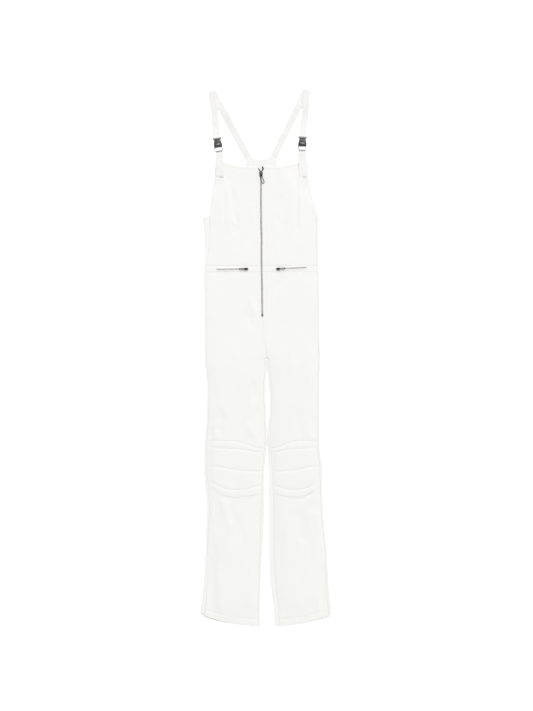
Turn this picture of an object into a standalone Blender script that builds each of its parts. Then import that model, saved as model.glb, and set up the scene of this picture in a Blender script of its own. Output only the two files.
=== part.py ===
"""White bib ski overalls, laid flat and face up, with the straps toward +Y.

Sizes are in millimetres until a mesh is made. The origin is at the middle of the
ground that the garment covers. Left is at -X, as seen from the front.
"""

import math
from collections import namedtuple

import bmesh
import bpy
import numpy as np
from mathutils import Matrix

MM = 0.001

# Cloth
WALL = 1.8                 # thickness of the body cloth
SEAM = 0.3                 # air between pieces that meet
STRAP_WALL = 1.5
TAB_WALL = 3.0             # the tab is a doubled band
FRONT_LEVEL = WALL + SEAM  # lowest inside of the front, above the back
HALF_SEAM = SEAM / 2
FOLD_OUTER = WALL + HALF_SEAM  # the back turns over its edges, round to the front
FOLD_INNER = HALF_SEAM
CROWN = 1.5                # how far the front rises between its seams
CROWN_REACH = 65.0         # over this distance from a seam
LIFT_LIMIT = 3.5           # crown and folds together

# Heights of the cross seams
WAIST = 273.3
BAND_LOW = 256.0
CROTCH = -5.0
UNDERARM = 420.0
HEM_LEVEL = -790.0
HEM_REACH = 230.0          # the hem's curve dies out over this height
HEM_START = 0.07           # the front's share of the hem, between the wrapped edges
HEM_END = 0.94
UNDERARM_SLANT = 9.0       # the wrapped strip's end rises by this toward its seam

# The bib's corners sag onto the floor past the back's armhole
SAG_FROM = 470.0
SAG_START = 21.0
SAG_REACH = 24.0

Edges = namedtuple("Edges", "y left right")

# Where the flattened tube turns under, from the hems up
OUTLINE = [
    Edges(-806, -199.0, 200.0), Edges(-766, -198.0, 198.0), Edges(-725, -192.0, 192.5),
    Edges(-660, -186.5, 188.0), Edges(-590, -183.0, 184.0), Edges(-515, -180.0, 177.0),
    Edges(-450, -177.0, 172.0), Edges(-395, -182.5, 171.0), Edges(-335, -186.0, 170.0),
    Edges(-275, -185.5, 162.5), Edges(-200, -180.0, 161.5), Edges(-110, -177.0, 161.5),
    Edges(-58, -180.0, 162.0), Edges(-5, -185.5, 164.0), Edges(60, -185.5, 162.0),
    Edges(170, -185.5, 161.5), Edges(235, -187.5, 160.0), Edges(275, -186.0, 159.0),
    Edges(325, -184.0, 158.5), Edges(365, -185.5, 157.5), Edges(400, -188.5, 159.5),
    Edges(420, -191.5, 161.5),
]
# Inner edge of each leg, from the hems up to the crotch
INSEAM = [
    Edges(-806, -17.0, 25.0), Edges(-766, -17.5, 24.0), Edges(-725, -16.0, 19.0),
    Edges(-660, -14.5, 12.5), Edges(-590, -10.5, 9.0), Edges(-515, -6.0, 9.0),
    Edges(-395, -3.0, 9.0), Edges(-335, -3.0, 9.0), Edges(-300, 0.0, 6.5),
    Edges(-265, 2.4, 4.4), Edges(-230, 2.6, 6.0), Edges(-160, 2.2, 9.5),
    Edges(-110, -1.5, 9.5), Edges(-60, -0.5, 7.5), Edges(-20, 1.5, 5.2), Edges(-5, 2.5, 4.1),
]
# How far the back wraps round to the front at the side seams
SIDE_WRAP = [
    Edges(-806, 15.0, 11.0), Edges(-700, 12.0, 10.0), Edges(-620, 7.5, 7.5),
    Edges(-500, 6.5, 6.5), Edges(-340, 8.5, 8.5), Edges(-200, 6.0, 6.0),
    Edges(170, 6.0, 6.0), Edges(275, 8.5, 6.5), Edges(325, 13.0, 7.0),
    Edges(365, 17.0, 8.0), Edges(420, 22.0, 10.0),
]
# How far it wraps round at the inside leg seams
INSEAM_WRAP = [
    Edges(-806, 6.0, 14.0), Edges(-700, 6.0, 15.0), Edges(-590, 8.0, 15.0),
    Edges(-480, 12.0, 15.0), Edges(-400, 10.0, 12.0), Edges(-275, 7.0, 8.0),
    Edges(-5, 6.0, 6.0),
]
# Armhole edge of the bib, above the underarm
ARMHOLE = [
    Edges(420, -169.5, 151.5), Edges(437, -169.5, 151.5), Edges(470, -167.0, 142.5),
    Edges(506, -161.5, 134.5), Edges(542, -155.5, 129.5), Edges(590, -151.5, 126.5),
]
# Armhole edge of the back, from the underarm up to the straps
BACK_ARMHOLE = [
    Edges(420, -189.55, 159.55), Edges(426, -178.0, 156.0), Edges(434, -165.0, 142.0),
    Edges(470, -128.0, 101.0), Edges(510, -96.0, 66.0), Edges(560, -68.0, 36.0),
    Edges(592, -61.2, 30.0),
]

Point = namedtuple("Point", "y x")
# Centre front: the zip, then the seam down to the crotch
CENTRE_FRONT = [
    Point(-5, 3.3), Point(60, -6.0), Point(123, -11.1), Point(215, -12.3),
    Point(300, -13.6), Point(350, -13.4), Point(405, -14.7), Point(500, -15.2),
    Point(575, -15.2),
]

# Lines across the knee, at fractions of the front's width from the side seam
KneeRow = namedtuple("KneeRow", "u top second middle fourth bottom")
KNEE = [
    KneeRow(0.00, -250.5, -272.0, -327.3, -371.4, -391.5),
    KneeRow(0.10, -250.8, -272.8, -328.2, -376.5, -396.9),
    KneeRow(0.20, -251.1, -273.6, -329.7, -387.0, -408.3),
    KneeRow(0.35, -251.4, -274.6, -333.6, -395.7, -418.5),
    KneeRow(0.50, -252.6, -276.0, -338.4, -398.4, -421.2),
    KneeRow(0.70, -262.5, -279.6, -342.0, -397.0, -419.0),
    KneeRow(0.85, -271.2, -284.4, -342.8, -390.0, -415.5),
    KneeRow(1.00, -272.7, -286.2, -342.9, -385.5, -411.0),
]
PAD_HEIGHT = 1.7           # the padded bands of the knee, over their stitch lines

# Rows of the back above the underarm, and what the yoke's edge adds at its flat columns
YOKE_ROWS = [426, 434, 450, 470, 490, 510, 535, 560, 580, 591]
FLAT_PARTS = (0.2, 0.5, 0.8)
YOKE_RISE = (10.0, -0.3, 9.6)
TURN_STEPS = 3             # facets round a turned edge
TURNED = TURN_STEPS + 1
LAST_FLAT = TURNED + len(FLAT_PARTS) + 1
FRONT_COLUMNS = (0.0, 0.05, 0.14, 0.24, 0.35, 0.46, 0.57, 0.68, 0.78, 0.87, 0.95, 1.0)

# One row of a piece: its height as a function of u, and its place within its band
Row = namedtuple("Row", "height pad")

Curve = namedtuple("Curve", "u y")
HEM = [
    Curve(0.0, -766.5), Curve(0.1, -778.5), Curve(0.2, -785.0), Curve(0.31, -790.5),
    Curve(0.45, -796.5), Curve(0.72, -803.5), Curve(1.0, -807.0),
]
BIB_TOP = [
    Curve(0.0, 588.0), Curve(0.2, 585.0), Curve(0.47, 576.4), Curve(0.72, 571.5),
    Curve(1.0, 571.5),
]

Fold = namedtuple("Fold", "x0 y0 x1 y1 width height")
# The largest folds: soft ridges, and troughs with a height below zero
FOLDS = [
    Fold(-113, 535, -114, 360, 9, 1.3), Fold(-98, 505, -84, 350, 8, -1.0),
    Fold(104, 500, 104, 370, 8, 1.3), Fold(94, 500, 93, 360, 6, -1.0),
    Fold(-60, 132, -40, 90, 8, -1.1), Fold(-48, 175, -34, 130, 9, 1.3),
    Fold(54, 238, 24, 205, 8, -1.0), Fold(70, 220, 40, 170, 11, 1.1),
    Fold(-40, -60, -30, -140, 9, -1.1), Fold(-30, -140, -16, -220, 8, -1.1),
    Fold(-128, -160, -140, -245, 10, -1.1), Fold(-54, -190, -38, -245, 10, 1.3),
    Fold(-126, -432, -108, -485, 9, 1.7), Fold(-108, -450, -86, -530, 9, -1.2),
    Fold(-138, -440, -148, -500, 8, -1.2), Fold(-159, -545, -152, -770, 12, -1.4),
    Fold(115, -425, 130, -412, 9, -1.2), Fold(104, -450, 112, -560, 14, -1.1),
    Fold(174, -620, 172, -770, 8, -1.3), Fold(118, -560, 160, -690, 14, -1.0),
]

# Straps and buckles
STRAP_WIDTH = 21.0
FOLD_RADIUS = 1.65         # of the strap's middle, at the shoulder
LOOP_RADIUS = 2.45         # of its middle, round the buckle's bar
BAR_HEIGHT = 3.2
TONGUE_BAR = 22.1          # from the buckle's middle up to the bar
BUCKLE_HALF = 10.1
BUCKLE_TOP = 10.5
BUCKLE_BOTTOM = -10.0
BUCKLE_DEPTH = 6.6
BAIL_HALF = 11.2
BAIL_RADIUS = 0.8
BAIL_LEVEL = 4.7
BAIL_BOTTOM = -20.2
BAIL_TOP = 3.0
BAIL_CORNER = 2.5
TAB_WIDTH = 25.0
TAB_LEVEL = 0.6            # underside of the tab inside the bail
TAB_END = 540.0

StrapPlan = namedtuple("StrapPlan", "name seat fold buckle tilt tab_end")
STRAPS = [
    StrapPlan("left", (-52.0, 596.0), (-161.1, 798.5), (-143.8, 634.7), 9.0, -138.6),
    StrapPlan("right", (20.7, 596.0), (122.4, 801.5), (108.2, 639.1), -2.5, 111.6),
]
# Height of the strap's middle over the floor, by distance up from the buckle's bar
StrapLevel = namedtuple("StrapLevel", "distance level")
STRAP_LEVELS = [
    StrapLevel(0, BAR_HEIGHT + LOOP_RADIUS), StrapLevel(9, 2.75), StrapLevel(17, 2.6),
    StrapLevel(30, 0.75), StrapLevel(64, 0.75), StrapLevel(86, 4.05), StrapLevel(200, 4.05),
]
RETURN_LENGTH = 15.0       # of the strap's end, sewn under itself above the bar

# Zips
CHAIN_HALF = 2.4           # width of one half of the chain
CHAIN_WALL = 2.0
ZIP_BOTTOM = 123.0
STOP_LENGTH = 5.0
ZipTop = namedtuple("ZipTop", "y left right")
ZIP_TOP = [ZipTop(546, 0.0, 0.0), ZipTop(556, -0.6, 0.2), ZipTop(574, -4.6, 2.0)]
SLIDER_Y = 548.0
PULL_TILT = 6.0            # the pull's lower end rests toward the chain
PULL_LEAN = 6.0            # and it leans to the right
PocketPlan = namedtuple("PocketPlan", "name inner outer inner_y outer_y")
POCKETS = [
    PocketPlan("left", -54.0, -147.0, 264.2, 262.6),
    PocketPlan("right", 31.0, 121.0, 264.0, 268.6),
]
POCKET_CHAIN = 5.0         # width
POCKET_WALL = 1.6

Finish = namedtuple("Finish", "colour roughness metallic")
CLOTH = Finish((0.90, 0.90, 0.88), 0.85, 0.0)
BAND = Finish((0.89, 0.89, 0.87), 0.80, 0.0)
GUNMETAL = Finish((0.10, 0.10, 0.095), 0.35, 1.0)
NICKEL = Finish((0.35, 0.35, 0.34), 0.30, 1.0)


def smooth(rows, at):
    """Monotone cubic through (place, value) rows, held level beyond its ends."""
    places, values = np.array(sorted(rows), dtype=float).T
    steps = np.diff(places)
    slopes = np.diff(values) / steps
    bends = np.zeros_like(values)
    for i in range(1, len(values) - 1):
        if slopes[i - 1] * slopes[i] > 0:
            near = 2 * steps[i] + steps[i - 1]
            far = steps[i] + 2 * steps[i - 1]
            bends[i] = (near + far) / (near / slopes[i - 1] + far / slopes[i])
    bends[0] = slopes[0]
    bends[-1] = slopes[-1]
    at = np.clip(np.asarray(at, dtype=float), places[0], places[-1])
    i = np.clip(np.searchsorted(places, at, side="right") - 1, 0, len(steps) - 1)
    t = (at - places[i]) / steps[i]
    rise = values[i + 1] - values[i]
    start = bends[i] * steps[i]
    end = bends[i + 1] * steps[i]
    return values[i] + t * (start + t * (3 * rise - 2 * start - end + t * (start + end - 2 * rise)))


def across(table, side, y):
    """A table's left or right column at height y."""
    return smooth([(row.y, getattr(row, side)) for row in table], y)


def ease(t):
    """0 to 1 with level ends."""
    t = np.clip(t, 0.0, 1.0)
    return t * t * (3 - 2 * t)


def outward(side):
    """Direction of a side along X."""
    return -1.0 if side == "left" else 1.0


def centre_front(y):
    return smooth([(row.y, row.x) for row in CENTRE_FRONT], y)


def zip_half(side, y):
    """Middle of one half of the zip's chain."""
    spread = smooth([(row.y, getattr(row, side)) for row in ZIP_TOP], y)
    return centre_front(y) + outward(side) * (CHAIN_HALF + SEAM) / 2 + spread


def front_outer(side, y):
    """Outer edge of the front: its side seam, and above the underarm its armhole."""
    seam = across(OUTLINE, side, y) - outward(side) * across(SIDE_WRAP, side, y)
    return np.where(np.asarray(y) <= UNDERARM, seam, across(ARMHOLE, side, y))


def front_inner(side, y):
    """Inner edge of the front: its inside leg seam, the centre seam, then the zip."""
    y = np.asarray(y, dtype=float)
    leg = across(INSEAM, side, y) + outward(side) * across(INSEAM_WRAP, side, y)
    centre = centre_front(y) + outward(side) * SEAM / 2
    beside_zip = zip_half(side, y) + outward(side) * (CHAIN_HALF / 2 + SEAM)
    centre = centre + (beside_zip - centre) * ease((y - ZIP_BOTTOM + 5) / 4)
    return leg + (centre - leg) * ease((y - CROTCH + 0.5) / 3)


def fold_height(fold, x, y):
    """Height of one fold: a smooth bar across its line, fading toward both ends."""
    length = math.hypot(fold.x1 - fold.x0, fold.y1 - fold.y0)
    along_x = (fold.x1 - fold.x0) / length
    along_y = (fold.y1 - fold.y0) / length
    t = ((x - fold.x0) * along_x + (y - fold.y0) * along_y) / length
    off = (x - fold.x0) * along_y - (y - fold.y0) * along_x
    ends = ease(t / 0.3) * ease((1 - t) / 0.3)
    return fold.height * ends * np.exp(-((off / fold.width) ** 2))


def lift(side, x, y):
    """How far the front's inside stands above FRONT_LEVEL."""
    to_side = np.abs(x - front_outer(side, y))
    aside = np.abs(x - np.where(y < CROTCH, front_inner(side, y), centre_front(y)))
    to_leg = np.hypot(aside, np.maximum(y - CROTCH, 0.0))
    nearest = np.minimum(to_side, to_leg)
    crown = CROWN * (1 - (1 - np.clip(nearest / CROWN_REACH, 0, 1)) ** 2)
    folds = sum(fold_height(fold, x, y) for fold in FOLDS)
    flat_edges = ease(nearest / 14) * ease((np.abs(x - centre_front(y)) - 5) / 14)
    return np.clip(crown + folds * flat_edges, 0.0, LIFT_LIMIT)


def front_inside(side, x, y):
    """Height of the front's inner face. Past the back's armhole the bib lies on the floor."""
    past = outward(side) * (x - across(BACK_ARMHOLE, side, y)) - SAG_START
    drop = ease(past / SAG_REACH) * ease((y - SAG_FROM) / 50)
    return (FRONT_LEVEL + lift(side, x, y)) * (1 - drop)


def hem_shift(u, y):
    """What the hem's curve adds to a row at height y, at fraction u of the front's width."""
    share = HEM_START + (HEM_END - HEM_START) * u
    curve = smooth([(row.u, row.y) for row in HEM], share)
    return (curve - HEM_LEVEL) * ease((HEM_LEVEL + HEM_REACH - y) / HEM_REACH)


def finish_object(name, data, finish):
    """Put a mesh or curve in the garment's collection under its own material."""
    material = bpy.data.materials.new(name)
    material.use_nodes = True
    shader = material.node_tree.nodes["Principled BSDF"]
    shader.inputs["Base Color"].default_value = (*finish.colour, 1.0)
    shader.inputs["Roughness"].default_value = finish.roughness
    shader.inputs["Metallic"].default_value = finish.metallic
    data.materials.clear()
    data.materials.append(material)
    thing = bpy.data.objects.new(name, data)
    bpy.data.collections["ski_overalls"].objects.link(thing)
    return thing


def cloth_wall(name, upper, lower, finish=CLOTH, cells=None):
    """Closed wall between two grids of points, rows x columns x 3, on the cells kept."""
    rows, columns = upper.shape[:2]
    kept = np.ones((rows - 1, columns - 1), bool) if cells is None else cells
    numbers = np.arange(rows * columns).reshape(rows, columns)
    below = numbers + rows * columns
    faces = []
    for i, j in zip(*np.nonzero(kept)):
        ring = [(i, j), (i, j + 1), (i + 1, j + 1), (i + 1, j)]
        beside = [(i - 1, j), (i, j + 1), (i + 1, j), (i, j - 1)]
        faces.append([numbers[k] for k in ring])
        faces.append([below[k] for k in reversed(ring)])
        for step, (a, b) in enumerate(beside):
            inside = 0 <= a < rows - 1 and 0 <= b < columns - 1 and kept[a, b]
            if not inside:
                first = ring[step]
                second = ring[(step + 1) % 4]
                faces.append([numbers[first], below[first], below[second], numbers[second]])
    points = np.concatenate([upper.reshape(-1, 3), lower.reshape(-1, 3)]) * MM
    mesh = bpy.data.meshes.new(name)
    mesh.from_pydata(points.tolist(), [], [[int(k) for k in face] for face in faces])
    shape = bmesh.new()
    shape.from_mesh(mesh)
    loose = [vertex for vertex in shape.verts if not vertex.link_faces]
    bmesh.ops.delete(shape, geom=loose, context="VERTS")
    bmesh.ops.recalc_face_normals(shape, faces=shape.faces)
    shape.to_mesh(mesh)
    shape.free()
    return finish_object(name, mesh, finish)


def even(count):
    return np.linspace(0.0, 1.0, count + 1)


def level(y):
    return lambda u: np.full_like(np.asarray(u, dtype=float), y)


def drawn(table, field, by=0.0):
    """A cross seam from a table's column, moved by a distance."""
    rows = [(row.u, getattr(row, field)) for row in table]
    return lambda u: smooth(rows, u) + by


def rows_through(guides, parts):
    """Rows of a piece between its cross seams, given bottom first as functions of u."""
    rows = []
    for low, high, steps in zip(guides[:-1], guides[1:], parts):
        for t in steps[1:] if rows else steps:
            rows.append(Row(lambda u, a=low, b=high, t=t: a(u) + (b(u) - a(u)) * t, t))
    return rows


def bib_rows():
    return rows_through(
        [level(WAIST + HALF_SEAM), level(UNDERARM), drawn(BIB_TOP, "y")],
        [even(5), [0, 0.07, 0.16, 0.27, 0.39, 0.51, 0.63, 0.74, 0.83, 0.89, 0.93, 0.965, 1.0]],
    )


def band_rows():
    return rows_through([level(BAND_LOW + HALF_SEAM), level(WAIST - HALF_SEAM)], [even(1)])


def thigh_rows():
    return rows_through(
        [drawn(KNEE, "top", HALF_SEAM), level(-130.0), level(CROTCH - 1), level(CROTCH + 7),
         level(ZIP_BOTTOM - 6), level(ZIP_BOTTOM), level(BAND_LOW - HALF_SEAM)],
        [even(4), even(4), [0.0, 0.45, 1.0], even(3), even(1), even(4)],
    )


def knee_rows():
    narrow = even(2)
    wide = [0.0, 0.15, 0.5, 0.85, 1.0]
    return rows_through(
        [drawn(KNEE, "bottom", HALF_SEAM), drawn(KNEE, "fourth"), drawn(KNEE, "middle"),
         drawn(KNEE, "second"), drawn(KNEE, "top", -HALF_SEAM)],
        [narrow, wide, wide, narrow],
    )


def shin_rows():
    middle = HEM_LEVEL + HEM_REACH / 2
    return rows_through(
        [lambda u: HEM_LEVEL + hem_shift(u, HEM_LEVEL), lambda u: middle + hem_shift(u, middle),
         level(HEM_LEVEL + HEM_REACH), drawn(KNEE, "bottom", -HALF_SEAM)],
        [even(4), even(3), even(4)],
    )


def knee_puff(t, u):
    """Padding between two stitch lines, flat at them and at the sides."""
    return PAD_HEIGHT * np.sqrt(np.sin(np.pi * t).clip(0)) * ease(u / 0.12) * ease((1 - u) / 0.12)


def panel(name, side, rows, puff=None):
    """A front piece on its rows, one wall thick, with any padding in its outer points."""
    u = np.array(FRONT_COLUMNS)
    y = np.array([row.height(u) for row in rows])
    outer = front_outer(side, y[:, :1])
    inner = front_inner(side, y[:, -1:])
    x = outer + (inner - outer) * u
    z = front_inside(side, x, y)
    thick = np.full_like(z, WALL)
    if puff:
        thick += puff(np.array([[row.pad] for row in rows]), u)
    lower = np.stack([x, y, z], axis=-1)
    upper = np.stack([x, y, z + thick], axis=-1)
    return cloth_wall(name, upper, lower)


def build_fronts(side):
    """Bib, waist band, thigh, knee and shin of one side."""
    panel(f"front_bib_{side}", side, bib_rows())
    panel(f"waist_band_{side}", side, band_rows())
    panel(f"front_thigh_{side}", side, thigh_rows())
    panel(f"knee_panel_{side}", side, knee_rows(), puff=knee_puff)
    panel(f"front_shin_{side}", side, shin_rows())


def turned_edge(fold, seam, direction):
    """Section of the cloth from its seam on top, round the fold, to the start of the flat.

    Returns (x, z) points of the outer and of the inner face.
    """
    centre = fold - direction * FOLD_OUTER
    angles = np.linspace(math.pi / 2, -math.pi / 2, TURN_STEPS + 1)
    outer = [(seam, 2 * FOLD_OUTER)]
    inner = [(seam, FOLD_OUTER + FOLD_INNER)]
    for angle in angles:
        aside = direction * math.cos(angle)
        outer.append((centre + aside * FOLD_OUTER, FOLD_OUTER * (1 + math.sin(angle))))
        inner.append((centre + aside * FOLD_INNER, FOLD_OUTER + FOLD_INNER * math.sin(angle)))
    return outer, inner


def back_section(first, last, heights):
    """One section of a back piece. first and last are (fold, seam, direction) of its edges.

    heights gives y at the first seam, first fold, each flat column, last fold, last seam.
    """
    outer_first, inner_first = turned_edge(*first)
    outer_last, inner_last = turned_edge(*last)
    low = outer_first[-1][0]
    high = outer_last[-1][0]
    flat = [low + (high - low) * part for part in FLAT_PARTS]
    outer = outer_first + [(x, 0.0) for x in flat] + outer_last[::-1]
    inner = inner_first + [(x, WALL) for x in flat] + inner_last[::-1]
    y = [heights[0], *[heights[1]] * TURNED, *heights[2:-2], *[heights[-2]] * TURNED, heights[-1]]
    return [[(x, h, z) for (x, z), h in zip(face, y)] for face in (outer, inner)]


def build_back_leg(side):
    """Back of one leg: it wraps round both its seams, and meets its twin above the crotch."""
    direction = outward(side)
    rows = shin_rows() + knee_rows()[1:] + thigh_rows()[1:] + band_rows()[1:]
    outer = []
    inner = []
    above = []
    for row in rows:
        heights = row.height(np.array([0.0, -0.08, *FLAT_PARTS, 1.07, 1.0]))
        side_fold = (
            float(across(OUTLINE, side, heights[1])),
            float(front_outer(side, heights[0])) + direction * SEAM,
            direction,
        )
        above.append(heights[-2] > CROTCH - 2)
        if heights[-2] < CROTCH:
            fold = float(across(INSEAM, side, heights[-2]))
        else:
            fold = float(centre_front(heights[-2])) + direction * (HALF_SEAM - FOLD_OUTER)
        seam = float(front_inner(side, heights[-1])) - direction * SEAM
        faces = back_section(side_fold, (fold, seam, -direction), heights)
        outer.append(faces[0])
        inner.append(faces[1])
    kept = np.ones((len(rows) - 1, len(outer[0]) - 1), bool)
    kept[np.array(above[:-1]), LAST_FLAT:] = False
    cloth_wall(f"back_leg_{side}", np.array(outer), np.array(inner), cells=kept)


def build_back_bodice():
    """The back above the waist: it wraps round to the side seams, then narrows to the yoke."""
    turned = [float(row.height(0.5)) for row in bib_rows() if row.height(0.5) <= UNDERARM]
    stations = turned + YOKE_ROWS
    outer = []
    inner = []
    for y in stations:
        edges = []
        for side in ("left", "right"):
            direction = outward(side)
            if y <= UNDERARM:
                fold = float(across(OUTLINE, side, y))
            else:
                fold = float(across(BACK_ARMHOLE, side, y)) + direction * FOLD_OUTER
            loose = SEAM * (1 + ease((y - UNDERARM + 40) / 40))
            edges.append((fold, float(front_outer(side, y)) + direction * loose, direction))
        slant = UNDERARM_SLANT * ease((y - UNDERARM + 40) / 40) if y <= UNDERARM else 0.0
        near_top = ease((y - YOKE_ROWS[-1] + 30) / 30)
        flat = [y + near_top * rise for rise in YOKE_RISE]
        faces = back_section(*edges, [y + slant, y, *flat, y, y + slant])
        outer.append(faces[0])
        inner.append(faces[1])
    kept = np.ones((len(stations) - 1, len(outer[0]) - 1), bool)
    kept[len(turned) - 1:, :TURNED] = False
    kept[len(turned) - 1:, LAST_FLAT:] = False
    cloth_wall("back_bodice", np.array(outer), np.array(inner), cells=kept)


def ribbon(name, edges, wall, finish=BAND):
    """A band through pairs of edge points, thickened evenly to both sides."""
    points = np.array(edges, dtype=float)
    mesh = bpy.data.meshes.new(name)
    faces = []
    across_count = points.shape[1]
    for i in range(len(points) - 1):
        for j in range(across_count - 1):
            k = i * across_count + j
            faces.append((k, k + 1, k + 1 + across_count, k + across_count))
    mesh.from_pydata((points.reshape(-1, 3) * MM).tolist(), [], faces)
    thing = finish_object(name, mesh, finish)
    shell = thing.modifiers.new("wall", "SOLIDIFY")
    shell.thickness = wall * MM
    shell.offset = 0.0
    shell.use_even_offset = True
    return thing


def unit(vector):
    return vector / np.linalg.norm(vector)


def build_strap(plan):
    """One band: from the yoke up over the shoulder fold, down and round the buckle's bar."""
    half = STRAP_WIDTH / 2
    seat = np.array(plan.seat)
    fold = np.array(plan.fold)
    up = unit(fold - seat)
    tilt = math.radians(plan.tilt)
    axis = np.array([-math.sin(tilt), math.cos(tilt)])
    bar = np.array(plan.buckle) + axis * TONGUE_BAR
    down = unit(bar + axis * 50 - fold)
    crease = unit(down - (-up))
    normal = np.array([-crease[1], crease[0]])
    normal *= np.sign(normal @ up)
    side = np.array([up[1], -up[0]])
    back_level = STRAP_WALL / 2
    low = seat + up * SEAM
    rows = [[(*(low - side * half), back_level), (*(low + side * half), back_level)]]

    def fold_point(corner, q):
        """Bend a point of the straight band, q past the fold line, over the crease."""
        on_line = (corner - fold) @ crease
        turn = math.pi * FOLD_RADIUS
        if q <= turn:
            flat = FOLD_RADIUS * math.sin(q / FOLD_RADIUS)
            rise = FOLD_RADIUS * (1 - math.cos(q / FOLD_RADIUS))
        else:
            flat = turn - q
            rise = 2 * FOLD_RADIUS
        place = fold + crease * on_line + normal * flat
        return (*place, back_level + rise)

    turn = math.pi * FOLD_RADIUS
    for q in [*np.linspace(0.0, turn, 9), turn + 6.0]:
        pair = []
        for sign in (-1, 1):
            base = seat + side * half * sign
            along = (q - (base - fold) @ normal) / (up @ normal)
            pair.append(fold_point(base + up * along, q))
        rows.append(pair)
    last = np.array(rows[-1])[:, :2]
    start = last.mean(axis=0)
    heading = unit(crease * (up @ crease) - normal * (up @ normal))
    end = bar
    reach = np.linalg.norm(end - start)
    samples = np.linspace(0, 1, 31)[1:]
    path = [
        (2 * t**3 - 3 * t**2 + 1) * start + (t**3 - 2 * t**2 + t) * heading * reach
        + (3 * t**2 - 2 * t**3) * end + (t**3 - t**2) * (-axis) * reach
        for t in samples
    ]
    path = np.array([start, *path])
    directions = np.gradient(path, axis=0)
    levels = [(row.distance, row.level) for row in STRAP_LEVELS]
    for place, direction in zip(path[2:], directions[2:]):
        forward = unit(direction)
        right = np.array([-forward[1], forward[0]])
        height = float(smooth(levels, np.linalg.norm(place - bar)))
        rows.append([(*(place + right * half * s), height) for s in (-1, 1)])
    right = np.array([axis[1], -axis[0]])
    for angle in np.linspace(90, 270, 9)[1:]:
        turned = math.radians(angle)
        place = bar + axis * LOOP_RADIUS * math.cos(turned)
        height = BAR_HEIGHT + LOOP_RADIUS * math.sin(turned)
        rows.append([(*(place + right * half * s), height) for s in (-1, 1)])
    for distance in (RETURN_LENGTH / 2, RETURN_LENGTH):
        place = bar + axis * distance
        height = BAR_HEIGHT - LOOP_RADIUS
        rows.append([(*(place + right * half * s), height) for s in (-1, 1)])
    ribbon(f"strap_{plan.name}", rows, STRAP_WALL)


def build_tab(plan):
    """Doubled band from the buckle's lower bar down onto the bib."""
    side = plan.name
    tilt = math.radians(plan.tilt)
    axis = np.array([-math.sin(tilt), math.cos(tilt)])
    middle = np.array(plan.buckle)
    start = middle + axis * (BUCKLE_BOTTOM - SEAM)
    leave = middle + axis * (BAIL_BOTTOM - 6)
    end = np.array([plan.tab_end, TAB_END])
    stations = np.concatenate([np.linspace(0, 0.25, 5), np.linspace(0.25, 1.0, 13)[1:]])
    upper = []
    lower = []
    for t in stations:
        if t <= 0.25:
            place = start + (leave - start) * t / 0.25
        else:
            place = leave + (end - leave) * (t - 0.25) / 0.75
        width = 19.6 + (TAB_WIDTH - 19.6) * ease((t - 0.22) / 0.16)
        right = np.array([axis[1], -axis[0]]) * (1 - ease(t)) + np.array([1.0, 0.0]) * ease(t)
        offsets = np.linspace(-0.5, 0.5, 5)[:, None] * width
        plan_points = place + offsets * unit(right)
        on_bib = front_inside(side, plan_points[:, 0], plan_points[:, 1]) + WALL + SEAM + 0.05
        floor = TAB_LEVEL + (on_bib - TAB_LEVEL) * ease((t - 0.2) / 0.12)
        lower.append(np.column_stack([plan_points, floor]))
        upper.append(np.column_stack([plan_points, floor + TAB_WALL]))
    cloth_wall(f"strap_tab_{side}", np.array(upper), np.array(lower), finish=BAND)


def outline_plate(name, outline, thickness, finish, holes=(), bevel=0.0):
    """A flat plate from a drawn outline and holes, as a filled curve, centred on z = 0."""
    drawing = bpy.data.curves.new(name, "CURVE")
    drawing.dimensions = "2D"
    drawing.fill_mode = "BOTH"
    drawing.extrude = (thickness / 2 - bevel) * MM
    drawing.bevel_depth = bevel * MM
    drawing.bevel_resolution = 0
    drawing.offset = -bevel * MM
    for ring in (outline, *holes):
        spline = drawing.splines.new("POLY")
        spline.points.add(len(ring) - 1)
        for point, (x, y) in zip(spline.points, ring):
            point.co = (x * MM, y * MM, 0.0, 1.0)
        spline.use_cyclic_u = True
    source = bpy.data.objects.new(name, drawing)
    bpy.context.scene.collection.objects.link(source)
    bpy.context.view_layer.update()
    graph = bpy.context.evaluated_depsgraph_get()
    mesh = bpy.data.meshes.new_from_object(source.evaluated_get(graph))
    bpy.data.objects.remove(source)
    shape = bmesh.new()
    shape.from_mesh(mesh)
    bmesh.ops.remove_doubles(shape, verts=shape.verts, dist=1e-6)
    bmesh.ops.recalc_face_normals(shape, faces=shape.faces)
    shape.to_mesh(mesh)
    shape.free()
    return finish_object(name, mesh, finish)


def rounded(width, height, radius, centre=(0.0, 0.0), steps=4):
    """Outline of a rectangle with round corners."""
    points = []
    for corner, (sx, sy) in enumerate([(1, 1), (-1, 1), (-1, -1), (1, -1)]):
        for k in range(steps + 1):
            angle = math.radians(90 * (corner + k / steps))
            points.append((
                centre[0] + sx * (width / 2 - radius) + radius * math.cos(angle),
                centre[1] + sy * (height / 2 - radius) + radius * math.sin(angle),
            ))
    return points


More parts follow.
